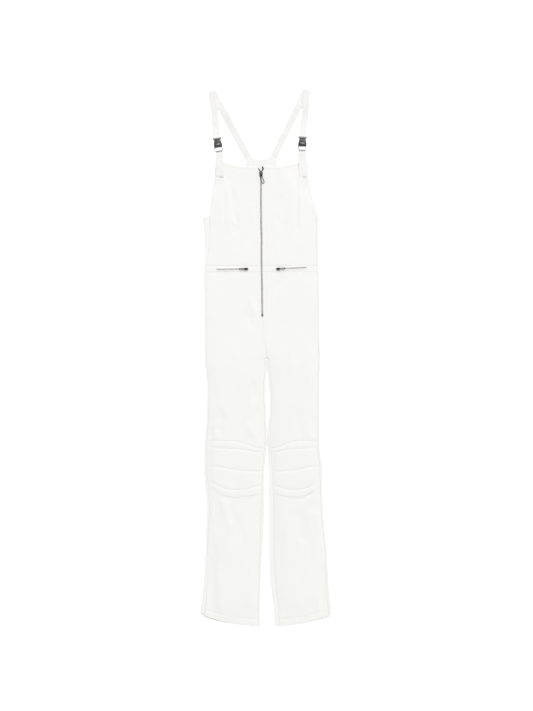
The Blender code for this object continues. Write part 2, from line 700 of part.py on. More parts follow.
def build_buckle(plan):
    """Quick-release buckle: tongue with the strap's bar, body, bare plate and wire bail."""
    place = Matrix.Translation((plan.buckle[0] * MM, plan.buckle[1] * MM, 0.0)) @ Matrix.Rotation(
        math.radians(plan.tilt), 4, "Z"
    )
    name = plan.name
    tongue = outline_plate(
        f"buckle_tongue_{name}",
        [(-12.4, 23.2), (-12.4, 21.0), (-11.6, 17.2), (-7.4, 14.6), (-7.2, 10.8),
         (7.2, 10.8), (7.4, 14.6), (11.6, 17.2), (12.4, 21.0), (12.4, 23.2)],
        2.0, GUNMETAL, holes=[rounded(21.8, 3.0, 0.5, (0.0, 19.6), 2)],
    )
    tongue.matrix_world = place @ Matrix.Translation((0, 0, BAR_HEIGHT * MM))
    body = outline_plate(
        f"buckle_body_{name}",
        [(-6.6, BUCKLE_TOP), (-BUCKLE_HALF, 5.6), (-BUCKLE_HALF, -8.6),
         (-8.8, BUCKLE_BOTTOM), (8.8, BUCKLE_BOTTOM), (BUCKLE_HALF, -8.6),
         (BUCKLE_HALF, 5.6), (6.6, BUCKLE_TOP)],
        BUCKLE_DEPTH, GUNMETAL, bevel=0.8,
    )
    body.matrix_world = place @ Matrix.Translation((0, 0, BUCKLE_DEPTH / 2 * MM))
    plate = outline_plate(
        f"buckle_plate_{name}", rounded(13.6, 5.0, 0.8, (0.0, -0.4), 3), 0.6, NICKEL,
    )
    plate.matrix_world = place @ Matrix.Translation((0, 0, (BUCKLE_DEPTH + SEAM + 0.3) * MM))
    bail = bpy.data.curves.new(f"buckle_bail_{name}", "CURVE")
    bail.dimensions = "3D"
    bail.bevel_depth = BAIL_RADIUS * MM
    bail.bevel_resolution = 2
    bail.use_fill_caps = True
    corner = BAIL_CORNER
    arc = [math.radians(a) for a in (0, 30, 60, 90)]
    points = [(-BAIL_HALF, BAIL_TOP), (-BAIL_HALF, BAIL_BOTTOM + corner)]
    points += [(-BAIL_HALF + corner - corner * math.cos(a), BAIL_BOTTOM + corner - corner * math.sin(a))
               for a in arc[1:]]
    points += [(-x, y) for x, y in reversed(points)]
    spline = bail.splines.new("POLY")
    spline.points.add(len(points) - 1)
    for point, (x, y) in zip(spline.points, points):
        point.co = (x * MM, y * MM, 0.0, 1.0)
    wire = finish_object(f"buckle_bail_{name}", bail, GUNMETAL)
    wire.matrix_world = place @ Matrix.Translation((0, 0, BAIL_LEVEL * MM))


def chain_level(y):
    """Underside of the zip's chain: a little over the inside of the front."""
    x = centre_front(y)
    return float(FRONT_LEVEL + lift("left", np.array([x - 3.0]), np.array([y]))[0])


def build_front_zip():
    """Two halves of the chain, their bottom stop, the slider and its pull."""
    heights = np.concatenate([
        np.linspace(ZIP_BOTTOM + SEAM + STOP_LENGTH, 540, 24), [546, 551, 556, 561, 566, 570.5],
    ])
    for side in ("left", "right"):
        upper = []
        lower = []
        for y in heights:
            x = float(zip_half(side, y))
            z = chain_level(y)
            ends = [x - CHAIN_HALF / 2, x + CHAIN_HALF / 2]
            lower.append([(end, y, z) for end in ends])
            upper.append([(end, y, z + CHAIN_WALL) for end in ends])
        cloth_wall(f"front_zip_chain_{side}", np.array(upper), np.array(lower), GUNMETAL)
    x = float(centre_front(ZIP_BOTTOM + STOP_LENGTH / 2))
    stop = outline_plate("front_zip_stop", rounded(5.2, STOP_LENGTH - 0.6, 0.6, steps=2), 2.2, GUNMETAL)
    stop.location = (x * MM, (ZIP_BOTTOM + STOP_LENGTH / 2 + 0.1) * MM,
                     (chain_level(ZIP_BOTTOM) + 1.2) * MM)
    x = float(centre_front(SLIDER_Y)) + 0.3
    top = chain_level(SLIDER_Y) + CHAIN_WALL
    pivot_y = SLIDER_Y - 2.0
    slider_with_pull("front_zip", (x, SLIDER_Y), (x, pivot_y), top, 0.0, PULL_LEAN, 1.0)


def slider_with_pull(name, centre, pivot, top, turn, lean, scale):
    """A slider on a chain's upper face, and the pull that swings about its pin.

    turn is the chain's direction about Z: with 0 the pull hangs toward -Y.
    """
    deck = 1.6
    pin_height = top + SEAM + deck + 1.7
    face = Matrix.Translation((centre[0] * MM, centre[1] * MM, 0)) @ Matrix.Rotation(
        math.radians(turn), 4, "Z"
    )
    hinge = Matrix.Translation((pivot[0] * MM, pivot[1] * MM, pin_height * MM)) @ Matrix.Rotation(
        math.radians(turn + lean), 4, "Z"
    )
    slider = outline_plate(
        f"{name}_slider", rounded(10.4 * scale, 15.0 * scale, 3.0 * scale, steps=3), deck, GUNMETAL,
        bevel=0.3,
    )
    slider.matrix_world = face @ Matrix.Translation((0, 0, (top + SEAM + deck / 2) * MM))
    lugs = []
    for sign in (-1, 1):
        bpy.ops.mesh.primitive_cube_add(size=1)
        lug = bpy.context.object
        lug.matrix_world = hinge @ Matrix.Translation((sign * 2.9 * MM, 0, -0.75 * MM)) @ Matrix.Diagonal(
            (1.4 * MM, 3.6 * MM, 3.5 * MM, 1)
        )
        lugs.append(lug)
    bpy.ops.mesh.primitive_cylinder_add(vertices=12, radius=0.6 * MM, depth=5.8 * MM)
    pin = bpy.context.object
    pin.matrix_world = hinge @ Matrix.Rotation(math.pi / 2, 4, "Y")
    join(slider, [*lugs, pin])
    pull = outline_plate(
        f"{name}_pull",
        [(-1.7, -0.6), (-1.7, -4.0), (-4.0 * scale, -8.0 * scale), (-4.2 * scale, -23.0 * scale),
         (-2.6 * scale, -25.4 * scale), (2.6 * scale, -25.4 * scale), (4.2 * scale, -23.0 * scale),
         (4.0 * scale, -8.0 * scale), (1.7, -4.0), (1.7, -0.6)],
        1.3, GUNMETAL, holes=[rounded(4.6 * scale, 12.0 * scale, 1.0, (0, -17.0 * scale), 2)],
    )
    bpy.ops.mesh.primitive_cylinder_add(vertices=16, radius=1.5 * MM, depth=3.6 * MM)
    eye = bpy.context.object
    eye.matrix_world = Matrix.Rotation(math.pi / 2, 4, "Y")
    join(pull, [eye])
    bpy.ops.mesh.primitive_cylinder_add(vertices=16, radius=0.95 * MM, depth=8 * MM)
    bore = bpy.context.object
    bore.matrix_world = Matrix.Rotation(math.pi / 2, 4, "Y")
    join(pull, [bore], "DIFFERENCE")
    pull.matrix_world = hinge @ Matrix.Rotation(math.radians(PULL_TILT), 4, "X")


def join(base, tools, operation="UNION"):
    """Join tools to base, or cut them from it, and apply the result to its mesh."""
    bpy.context.view_layer.update()
    for tool in tools:
        change = base.modifiers.new("join", "BOOLEAN")
        change.operation = operation
        change.solver = "EXACT"
        change.object = tool
    bpy.context.view_layer.update()
    graph = bpy.context.evaluated_depsgraph_get()
    mesh = bpy.data.meshes.new_from_object(base.evaluated_get(graph))
    base.modifiers.clear()
    base.data = mesh
    for tool in tools:
        bpy.data.objects.remove(tool)


def build_pocket_zip(plan):
    """A zip along the waist band: chain, slider at its inner end, and pull lying outward."""
    inner = np.array([plan.inner, plan.inner_y])
    outer = np.array([plan.outer, plan.outer_y])
    along = unit(outer - inner)
    aside = np.array([-along[1], along[0]])
    side = plan.name
    upper = []
    lower = []
    for t in even(14):
        place = inner + (outer - inner) * t
        ends = [place - aside * POCKET_CHAIN / 2, place, place + aside * POCKET_CHAIN / 2]
        floor = [
            float(front_inside(side, np.array([x]), np.array([y]))[0]) + WALL + SEAM + 0.05
            for x, y in ends
        ]
        high = max(floor)
        lower.append([(*point, high) for point in ends])
        upper.append([(*point, high + POCKET_WALL) for point in ends])
    cloth_wall(f"pocket_zip_chain_{side}", np.array(upper), np.array(lower), GUNMETAL)
    length = np.linalg.norm(outer - inner)
    spot = inner + along * 5.5
    top = max(row[1][2] for row in upper[: int(14 * 32 / length) + 1])
    turn = math.degrees(math.atan2(along[1], along[0])) + 90
    pivot = spot + along * 1.2
    slider_with_pull(f"pocket_zip_{side}", tuple(spot), tuple(pivot), top, turn, 0.0, 0.72)


def main():
    for thing in list(bpy.data.objects):
        bpy.data.objects.remove(thing)
    garment = bpy.data.collections.new("ski_overalls")
    bpy.context.scene.collection.children.link(garment)
    for side in ("left", "right"):
        build_fronts(side)
        build_back_leg(side)
    build_back_bodice()
    for plan in STRAPS:
        build_strap(plan)
        build_tab(plan)
        build_buckle(plan)
    build_front_zip()
    for plan in POCKETS:
        build_pocket_zip(plan)


main()
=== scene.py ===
"""White bib ski overalls, laid flat and face up: the sewn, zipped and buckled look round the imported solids.

All sizes are millimetres in the frame of the solids until a mesh is made. LEFT is the side at -X.
"""

import logging
import math
from collections.abc import Callable, Sequence
from dataclasses import dataclass, field
from enum import Enum

import bmesh
import bpy
import numpy as np
from mathutils import Matrix, Vector


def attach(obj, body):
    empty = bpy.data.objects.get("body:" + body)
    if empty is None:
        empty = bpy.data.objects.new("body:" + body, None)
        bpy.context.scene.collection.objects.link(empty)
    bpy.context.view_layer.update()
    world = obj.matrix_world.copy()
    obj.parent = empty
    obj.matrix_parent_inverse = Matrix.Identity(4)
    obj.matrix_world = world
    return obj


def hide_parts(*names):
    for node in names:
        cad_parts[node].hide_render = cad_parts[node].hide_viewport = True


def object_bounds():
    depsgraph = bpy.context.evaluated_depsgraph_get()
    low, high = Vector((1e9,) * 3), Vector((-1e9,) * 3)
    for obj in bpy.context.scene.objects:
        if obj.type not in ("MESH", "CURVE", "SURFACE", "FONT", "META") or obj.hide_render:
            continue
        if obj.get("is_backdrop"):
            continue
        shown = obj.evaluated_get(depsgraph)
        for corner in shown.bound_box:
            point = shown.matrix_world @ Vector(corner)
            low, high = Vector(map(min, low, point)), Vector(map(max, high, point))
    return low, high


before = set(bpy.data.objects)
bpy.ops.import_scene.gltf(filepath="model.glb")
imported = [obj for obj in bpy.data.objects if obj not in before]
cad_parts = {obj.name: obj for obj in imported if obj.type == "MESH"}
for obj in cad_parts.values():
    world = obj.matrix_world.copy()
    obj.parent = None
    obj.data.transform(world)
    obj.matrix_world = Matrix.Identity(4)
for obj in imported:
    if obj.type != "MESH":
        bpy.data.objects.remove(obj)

CAD_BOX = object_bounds()
LOG = logging.getLogger("ski_overalls")
MM = 0.001

Array = np.ndarray
Place = tuple[float, float]
EdgeRows = tuple[tuple[float, float, float], ...]

# Cloth
WALL = 1.8
SEAM = 0.3
HALF_SEAM = SEAM / 2
GAP = 0.06
STRAP_WALL = 1.5
TAB_WALL = 1.7
FRONT_LEVEL = WALL + SEAM
FOLD_OUTER = WALL + HALF_SEAM
FOLD_INNER = HALF_SEAM
CROWN = 1.5
CROWN_REACH = 65.0
LIFT_LIMIT = 3.5
PAD_HEIGHT = 0.72

# Heights of the cross seams
WAIST = 273.3
BAND_LOW = 256.0
CROTCH = -5.0
UNDERARM = 420.0
UNDERARM_SLANT = 9.0
HEM_LEVEL = -790.0
HEM_REACH = 230.0
HEM_START = 0.07
HEM_END = 0.94
SAG_FROM = 440.0
SAG_START = 6.0
SAG_REACH = 62.0

# (height, left, right) of each edge
OUTLINE: EdgeRows = (
    (-806, -199.0, 200.0), (-766, -198.0, 198.0), (-725, -192.0, 192.5), (-660, -186.5, 188.0),
    (-590, -183.0, 184.0), (-515, -180.0, 177.0), (-450, -177.0, 172.0), (-395, -182.5, 171.0),
    (-335, -186.0, 170.0), (-275, -185.5, 162.5), (-200, -180.0, 161.5), (-110, -177.0, 161.5),
    (-58, -180.0, 162.0), (-5, -185.5, 164.0), (60, -185.5, 162.0), (170, -185.5, 161.5),
    (235, -187.5, 160.0), (275, -186.0, 159.0), (325, -184.0, 158.5), (365, -185.5, 157.5),
    (400, -188.5, 159.5), (420, -191.5, 161.5),
)
INSEAM: EdgeRows = (
    (-806, -17.0, 25.0), (-766, -17.5, 24.0), (-725, -16.0, 19.0), (-660, -14.5, 12.5),
    (-590, -10.5, 9.0), (-515, -6.0, 9.0), (-395, -3.0, 9.0), (-335, -3.0, 9.0), (-300, 0.0, 6.5),
    (-268, 2.8, 3.7), (-238, 3.5, 4.3), (-210, 3.2, 4.7), (-188, 2.4, 7.8), (-160, 2.2, 9.5),
    (-110, -1.5, 9.5), (-85, -1.5, 7.6), (-65, 0.4, 5.6), (-50, 3.0, 4.6), (-35, 2.5, 3.1),
    (-20, 1.7, 2.2), (-5, 1.8, 2.4),
)
SIDE_WRAP: EdgeRows = (
    (-806, 15.0, 11.0), (-700, 12.0, 10.0), (-620, 7.5, 7.5), (-500, 6.5, 6.5), (-340, 8.5, 8.5),
    (-200, 6.0, 6.0), (170, 6.0, 6.0), (275, 8.5, 6.5), (325, 13.0, 7.0), (365, 17.0, 8.0),
    (420, 22.0, 10.0),
)
INSEAM_WRAP: EdgeRows = (
    (-806, 6.0, 14.0), (-700, 6.0, 15.0), (-590, 8.0, 15.0), (-480, 12.0, 15.0), (-400, 10.0, 12.0),
    (-275, 7.0, 8.0), (-5, 6.0, 6.0),
)
ARMHOLE: EdgeRows = (
    (420, -169.5, 151.5), (437, -169.5, 151.5), (470, -167.0, 142.5), (506, -161.5, 134.5),
    (542, -155.5, 129.5), (590, -151.5, 126.5),
)
BACK_ARMHOLE: EdgeRows = (
    (420, -189.55, 159.55), (426, -178.0, 156.0), (434, -165.0, 142.0), (470, -128.0, 101.0),
    (510, -96.0, 66.0), (560, -68.0, 36.0), (592, -61.2, 30.0),
)
CENTRE_FRONT = (
    (-5, 3.3), (60, -6.0), (123, -11.1), (215, -12.3), (300, -13.6), (350, -13.4), (405, -14.7),
    (500, -15.2), (575, -15.2),
)
# (share of the front's width, then the height of each line across the knee)
KNEE = (
    (0.00, -250.5, -272.0, -327.3, -371.4, -391.5), (0.10, -250.8, -272.8, -328.2, -376.5, -396.9),
    (0.20, -251.1, -273.6, -329.7, -387.0, -408.3), (0.35, -251.4, -274.6, -333.6, -395.7, -418.5),
    (0.50, -252.6, -276.0, -338.4, -398.4, -421.2), (0.70, -262.5, -279.6, -342.0, -397.0, -419.0),
    (0.85, -271.2, -284.4, -342.8, -390.0, -415.5), (1.00, -272.7, -286.2, -342.9, -385.5, -411.0),
)
HEM = (
    (0.0, -766.5), (0.1, -778.5), (0.2, -785.0), (0.31, -790.5), (0.45, -796.5), (0.72, -803.5),
    (1.0, -807.0),
)
BIB_TOP = ((0.0, 588.0), (0.2, 585.0), (0.47, 576.4), (0.72, 571.5), (1.0, 571.5))

# Zips
CHAIN_HALF = 2.4
CHAIN_WALL = 2.0
ZIP_BOTTOM = 123.0
STOP_LENGTH = 5.0
ZIP_SPREAD: EdgeRows = (
    (546, 0.0, 0.0), (556, -0.9, 0.8), (559.5, -2.9, 3.2), (563.5, -5.4, 5.6), (568, -7.4, 4.6),
    (574, -9.0, 2.6),
)
SLIDER_Y = 548.0
PULL_LEAN = 6.0
PULL_TILT = 6.0


class Side(Enum):
    """A side of the garment as it lies, seen from the front."""

    LEFT = "left"
    RIGHT = "right"

    @property
    def out(self) -> float:
        """Direction along X from the middle to this side."""
        return -1.0 if self is Side.LEFT else 1.0

    @property
    def column(self) -> int:
        """This side's column in a table of edges."""
        return 1 if self is Side.LEFT else 2


class Line(Enum):
    """What crosses a panel along one of its guide lines."""

    SEAM = "seam"
    STITCH = "stitch"
    STEP = "step"
    PLAIN = "plain"


# ---------------------------------------------------------------- curves and shapes


def ease(t: Array | float) -> Array:
    """0 to 1 with level ends: 3t^2 - 2t^3, held outside.

    Args:
        t: Where between the two ends, 0 to 1.
    Returns:
        The eased share.
    """
    t = np.clip(t, 0.0, 1.0)
    return t * t * (3 - 2 * t)


class Curve:
    """Monotone cubic through (place, value) rows, held level beyond its ends."""

    def __init__(self, rows: Sequence[Place]) -> None:
        """Work out the bends at each row.

        Args:
            rows: (place, value) pairs in any order.
        """
        self.places, self.values = np.array(sorted(rows), dtype=float).T
        self.steps = np.diff(self.places)
        slopes = np.diff(self.values) / self.steps
        bends = np.zeros_like(self.values)
        near = 2 * self.steps[1:] + self.steps[:-1]
        far = self.steps[1:] + 2 * self.steps[:-1]
        same = slopes[:-1] * slopes[1:] > 0
        safe_low = np.where(same, slopes[:-1], 1.0)
        safe_high = np.where(same, slopes[1:], 1.0)
        bends[1:-1] = np.where(same, (near + far) / (near / safe_low + far / safe_high), 0.0)
        bends[0] = slopes[0]
        bends[-1] = slopes[-1]
        self.bends = bends

    def __call__(self, at: Array | float) -> Array:
        """The curve's value at each place.

        Args:
            at: Places, in any shape.
        Returns:
            Values in the same shape.
        """
        at = np.clip(np.asarray(at, dtype=float), self.places[0], self.places[-1])
        i = np.clip(np.searchsorted(self.places, at, side="right") - 1, 0, len(self.steps) - 1)
        t = (at - self.places[i]) / self.steps[i]
        rise = self.values[i + 1] - self.values[i]
        start = self.bends[i] * self.steps[i]
        end = self.bends[i + 1] * self.steps[i]
        return self.values[i] + t * (
            start + t * (3 * rise - 2 * start - end + t * (start + end - 2 * rise))
        )


def edge_curves(rows: EdgeRows) -> dict[Side, Curve]:
    """A table's left and right column as curves over height.

    Args:
        rows: (height, left, right) rows.
    Returns:
        One curve for each side.
    """
    return {side: Curve([(row[0], row[side.column]) for row in rows]) for side in Side}


def seam_drop(away: Array) -> Array:
    """How far the outer face rolls down toward a seam.

    A quarter circle of 0.9 mm, 0.45 deep, on a wide shallow dip that dies out as a bell curve.

    Args:
        away: Distance from the seam.
    Returns:
        Depth below the open face.
    """
    near = 1 - np.clip(away / 0.9, 0, 1)
    return 0.45 * (1 - np.sqrt(1 - near**2)) + 0.22 * np.exp(-((away / 3.5) ** 2))


def stitch_groove(away: Array) -> Array:
    """Depth of the channel that a row of stitches pulls into the cloth: a bell curve.

    Args:
        away: Distance from the row.
    Returns:
        Depth below the open face.
    """
    return 0.26 * np.exp(-((away / 0.9) ** 2)) + 0.14 * np.exp(-((away / 3.2) ** 2))


def drift(x: Array, y: Array, seed: float, long: float, wide: float) -> Array:
    """Uneven hand-laid softness: three sine waves of unlike length, added, from -1 to 1.

    Args:
        x: Places along X.
        y: Places along Y.
        seed: Shifts the pattern.
        long: Length of the slow wave along Y.
        wide: Length of the slow wave along X.
    Returns:
        The sum of the waves at each place.
    """
    a = np.sin(2 * math.pi * (x / wide + 0.31 * y / long) + seed)
    b = np.sin(2 * math.pi * (1.73 * x / wide - 0.57 * y / long) + 2.1 * seed + 1.3)
    c = np.sin(2 * math.pi * (0.62 * x / wide + 1.37 * y / long) + 3.7 * seed + 0.4)
    return (a + 0.7 * b + 0.6 * c) / 2.3


@dataclass(frozen=True)
class Fold:
    """A soft ridge, or with a height below zero a trough, along a line."""

    x0: float
    y0: float
    x1: float
    y1: float
    width: float
    height: float

    def rise(self, x: Array, y: Array) -> Array:
        """A bell curve across the line, that fades over the first and last third of it.

        Args:
            x: Places along X.
            y: Places along Y.
        Returns:
            The fold's height at each place.
        """
        length = math.hypot(self.x1 - self.x0, self.y1 - self.y0)
        along_x = (self.x1 - self.x0) / length
        along_y = (self.y1 - self.y0) / length
        t = ((x - self.x0) * along_x + (y - self.y0) * along_y) / length
        off = (x - self.x0) * along_y - (y - self.y0) * along_x
        ends = ease(t / 0.3) * ease((1 - t) / 0.3)
        return self.height * ends * np.exp(-((off / self.width) ** 2))


# The largest folds, as in the solids
FOLDS = (
    Fold(-113, 535, -114, 360, 9, 1.3), Fold(-98, 505, -84, 350, 8, -1.0),
    Fold(104, 500, 104, 370, 8, 1.3), Fold(94, 500, 93, 360, 6, -1.0),
    Fold(-64, 142, -36, 78, 8, -1.1), Fold(-50, 184, -32, 118, 9, 1.2),
    Fold(58, 252, 20, 188, 8, -1.0), Fold(76, 240, 36, 160, 13, 0.7),
    Fold(-40, -60, -30, -140, 9, -1.1), Fold(-30, -140, -16, -220, 8, -1.1),
    Fold(-128, -160, -140, -245, 10, -1.1), Fold(-54, -190, -38, -245, 10, 1.3),
    Fold(-130, -415, -98, -540, 11, 1.5), Fold(-112, -430, -82, -570, 11, -1.0),
    Fold(-136, -425, -150, -540, 9, -1.0), Fold(-159, -520, -152, -800, 12, -1.3),
    Fold(104, -450, 112, -560, 14, -1.0), Fold(-116, -450, -104, -900, 34, 1.2),
    Fold(174, -620, 172, -770, 8, -1.3), Fold(98, -440, 168, -740, 22, -1.1),
)
# Finer creases laid over them
CREASES = (
    Fold(-106, 520, -98, 455, 5, -0.9), Fold(-98, 440, -80, 395, 5, -0.8),
    Fold(-100, 405, -92, 360, 6, -0.7), Fold(-122, 500, -127, 420, 5, -0.6),
    Fold(-130, 470, -136, 380, 6, 0.6), Fold(93, 545, 96, 430, 4, -0.9),
    Fold(112, 520, 114, 440, 5, -0.6), Fold(100, 450, 92, 400, 4, -0.7),
    Fold(4, 570, 3, 500, 3.5, -0.55), Fold(13, 568, 14, 495, 3.5, 0.5),
    Fold(46, 495, 40, 430, 9, -0.5), Fold(30, 430, 36, 400, 6, -0.5),
    Fold(-40, 470, -42, 400, 9, 0.4), Fold(-56, 345, -62, 300, 8, 0.5),
    Fold(28, 330, 24, 290, 6, -0.45), Fold(58, 470, 61, 320, 10, -0.35),
    Fold(-168, 400, -166, 330, 5, -0.5), Fold(146, 400, 148, 320, 5, -0.5),
    Fold(-40, 160, -28, 112, 5, 0.5),
    Fold(-112, 170, -110, 40, 12, -0.55), Fold(-86, 60, -74, -120, 14, 0.45),
    Fold(58, 30, 66, -90, 12, -0.6), Fold(80, 10, 84, -120, 14, 0.45),
    Fold(-26, 10, -34, -70, 6, -0.6), Fold(-14, -20, -18, -150, 5, 0.5),
    Fold(-44, -120, -48, -190, 7, 0.6), Fold(-132, -150, -150, -200, 5, -0.7),
    Fold(-118, -140, -128, -185, 6, 0.5), Fold(34, -60, 30, -190, 8, 0.5),
    Fold(96, -150, 100, -245, 9, -0.7), Fold(122, -170, 124, -250, 9, 0.4),
    Fold(140, -160, 142, -245, 6, -0.6), Fold(-162, -210, -170, -250, 5, -0.9),
    Fold(-150, -215, -156, -250, 5, 0.7), Fold(-16, -200, -22, -262, 4, -0.7),
    Fold(-124, -420, -128, -500, 5, 0.5), Fold(-92, -460, -70, -560, 7, -0.5),
    Fold(-160, -430, -164, -500, 6, 0.6), Fold(-140, -640, -134, -780, 8, 0.9),
    Fold(-150, -560, -150, -640, 6, -0.6), Fold(-178, -700, -180, -745, 4, 0.8),
    Fold(-120, -600, -104, -760, 16, -0.5), Fold(-60, -560, -52, -770, 18, 0.4),
    Fold(122, -420, 140, -404, 5, -0.8), Fold(96, -430, 118, -422, 5, -0.7),
    Fold(140, -430, 130, -470, 7, -0.7), Fold(60, -430, 58, -560, 9, 0.45),
    Fold(150, -450, 158, -540, 8, 0.6), Fold(182, -640, 184, -760, 5, 0.8),
    Fold(164, -650, 162, -765, 6, 0.6), Fold(84, -640, 96, -780, 16, 0.35),
    Fold(44, -520, 46, -700, 7, -0.5), Fold(-168, -575, -161, -800, 10, -1.5),
    Fold(170, -600, 168, -785, 7, -1.5), Fold(-182, -700, -181, -790, 4, 0.9),
)


class Lie:
    """Where every edge of the flattened overalls runs, and how high its faces lie."""

    def __init__(self) -> None:
        """Turn the tables into curves."""
        self.outline = edge_curves(OUTLINE)
        self.inseam = edge_curves(INSEAM)
        self.side_wrap = edge_curves(SIDE_WRAP)
        self.inseam_wrap = edge_curves(INSEAM_WRAP)
        self.armhole = edge_curves(ARMHOLE)
        self.back_armhole = edge_curves(BACK_ARMHOLE)
        self.zip_spread = edge_curves(ZIP_SPREAD)
        self.swell = 2.0
        self.centre = Curve(CENTRE_FRONT)
        self.hem = Curve(HEM)
        self.bib_top = Curve(BIB_TOP)
        names = ("top", "second", "middle", "fourth", "bottom")
        self.knee = {
            name: Curve([(row[0], row[place]) for row in KNEE]) for place, name in enumerate(names, 1)
        }

    def zip_half(self, side: Side, y: Array) -> Array:
        """Middle of one half of the zip's chain at height y."""
        return self.centre(y) + side.out * (CHAIN_HALF + SEAM) / 2 + self.zip_spread[side](y)

    def outer(self, side: Side, y: Array) -> Array:
        """Outer edge of the front: the side seam, and above the underarm the armhole.

        Args:
            side: Which side.
            y: Heights.
        Returns:
            X of the edge.
        """
        seam = self.outline[side](y) - side.out * self.side_wrap[side](y)
        return np.where(np.asarray(y) <= UNDERARM, seam, self.armhole[side](y))

    def inner(self, side: Side, y: Array) -> Array:
        """Inner edge of the front: the inside leg seam, the centre seam, then the zip.

        Args:
            side: Which side.
            y: Heights.
        Returns:
            X of the edge.
        """
        y = np.asarray(y, dtype=float)
        leg = self.inseam[side](y) + side.out * self.inseam_wrap[side](y)
        centre = self.centre(y) + side.out * GAP / 2
        beside = self.zip_half(side, y) + side.out * (CHAIN_HALF / 2 + SEAM)
        centre = centre + (beside - centre) * ease((y - ZIP_BOTTOM + 5) / 4)
        return leg + (centre - leg) * ease((y - CROTCH + 0.5) / 3)

    def share(self, side: Side, x: Array, y: Array) -> Array:
        """How far across the front a place is: 0 at its outer edge, 1 at its inner one."""
        outer = self.outer(side, y)
        return (x - outer) / (self.inner(side, y) - outer)

    def lift(self, side: Side, x: Array, y: Array, fine: bool = True) -> Array:
        """How far the front stands over its lowest level: a crown between the seams, plus its folds.

        Args:
            side: Which side.
            x: Places along X.
            y: Places along Y.
            fine: Whether the finer creases are in it.
        Returns:
            Height over FRONT_LEVEL.
        """
        to_side = np.abs(x - self.outer(side, y))
        aside = np.abs(x - np.where(y < CROTCH, self.inner(side, y), self.centre(y)))
        nearest = np.minimum(to_side, np.hypot(aside, np.maximum(y - CROTCH, 0.0)))
        crown = CROWN * (1 - (1 - np.clip(nearest / CROWN_REACH, 0, 1)) ** 2)
        flat_edges = ease(nearest / 14) * ease((np.abs(x - self.centre(y)) - 5) / 14)
        calm = 1 - 0.12 * ease(y / 60)
        folds = sum(fold.rise(x, y) for fold in FOLDS) * calm
        height = np.clip(crown + folds * flat_edges, 0.0, LIFT_LIMIT)
        if not fine:
            return height
        near_edges = ease(nearest / 7) * ease((np.abs(x - self.centre(y)) - 4) / 7)
        small = 1.3 * sum(fold.rise(x, y) for fold in CREASES)
        small = small + 0.16 * drift(x, y, 0.7, 190.0, 52.0) + 0.14 * drift(x, y, 2.9, 84.0, 71.0)
        small = small + 0.03 * drift(x, y, 5.1, 31.0, 23.0)
        swell = self.swell * (1 - (1 - np.clip(nearest / 34, 0, 1)) ** 2) * ease((86 - y) / 120)
        swell = swell * ease((y - HEM_LEVEL + 16) / 90)
        return np.maximum(height + swell + small * near_edges * calm, 0.0)

    def inside(self, side: Side, x: Array, y: Array, fine: bool = True) -> Array:
        """Height of the front's inner face. Past the back's armhole the bib lies on the floor.

        Args:
            side: Which side.
            x: Places along X.
            y: Places along Y.
            fine: Whether the finer creases are in it.
        Returns:
            Height over the floor.
        """
        past = side.out * (x - self.back_armhole[side](y)) - SAG_START
        drop = ease(past / SAG_REACH) * ease((y - SAG_FROM) / 80)
        return (FRONT_LEVEL + self.lift(side, x, y, fine)) * (1 - drop)

    def hem_edge(self, u: Array, y: float) -> Array:
        """Height of a row whose own height is y, at share u of the front, bent as the hem is.

        Args:
            u: Share of the front's width.
            y: The row's height where the hem's curve has died out.
        Returns:
            The bent height.
        """
        curve = self.hem(HEM_START + (HEM_END - HEM_START) * u) - HEM_LEVEL
        return y + curve * ease((HEM_LEVEL + HEM_REACH - y) / HEM_REACH)

    def chain_level(self, y: Array) -> Array:
        """Underside of the front zip's chain at height y."""
        y = np.asarray(y, dtype=float)
        return FRONT_LEVEL + self.lift(Side.LEFT, self.centre(y) - 3.0, y, fine=False)


LIE = Lie()


# ---------------------------------------------------------------- meshes

GARMENT = "garment"


def make_piece(
    name: str,
    points: Array,
    faces: list[list[int]],
    material: bpy.types.Material,
    body: str = GARMENT,
    uv: Array | None = None,
    smooth: bool = True,
) -> bpy.types.Object:
    """Put a mesh in the scene as a piece that rides on a body, with its faces turned outward.

    Args:
        name: The piece's name.
        points: (N, 3) places in millimetres.
        faces: Point numbers of each face.
        material: Its finish.
        body: The body it rides on.
        uv: (N, 2) map places of the points, or None.
        smooth: Whether its faces are shaded smooth.
    Returns:
        The piece's object.
    """
    name = f"made_{name}"
    used, renumbered = np.unique(np.concatenate([np.asarray(f) for f in faces]), return_inverse=True)
    ends = np.cumsum([len(face) for face in faces])
    loops = np.split(renumbered.ravel(), ends[:-1])
    mesh = bpy.data.meshes.new(name)
    mesh.from_pydata((points[used] * MM).tolist(), [], [loop.tolist() for loop in loops])
    mesh.validate()
    shape = bmesh.new()
    shape.from_mesh(mesh)
    bmesh.ops.recalc_face_normals(shape, faces=shape.faces)
    shape.to_mesh(mesh)
    shape.free()
    if uv is not None:
        layer = mesh.uv_layers.new(name="cut")
        corners = np.empty(len(mesh.loops), dtype=np.int32)
        mesh.loops.foreach_get("vertex_index", corners)
        layer.data.foreach_set("uv", uv[used][corners].astype(np.float32).ravel())
    mesh.polygons.foreach_set("use_smooth", np.full(len(mesh.polygons), smooth))
    mesh.materials.append(material)
    thing = bpy.data.objects.new(name, mesh)
    bpy.context.scene.collection.objects.link(thing)
    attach(thing, body)
    return thing


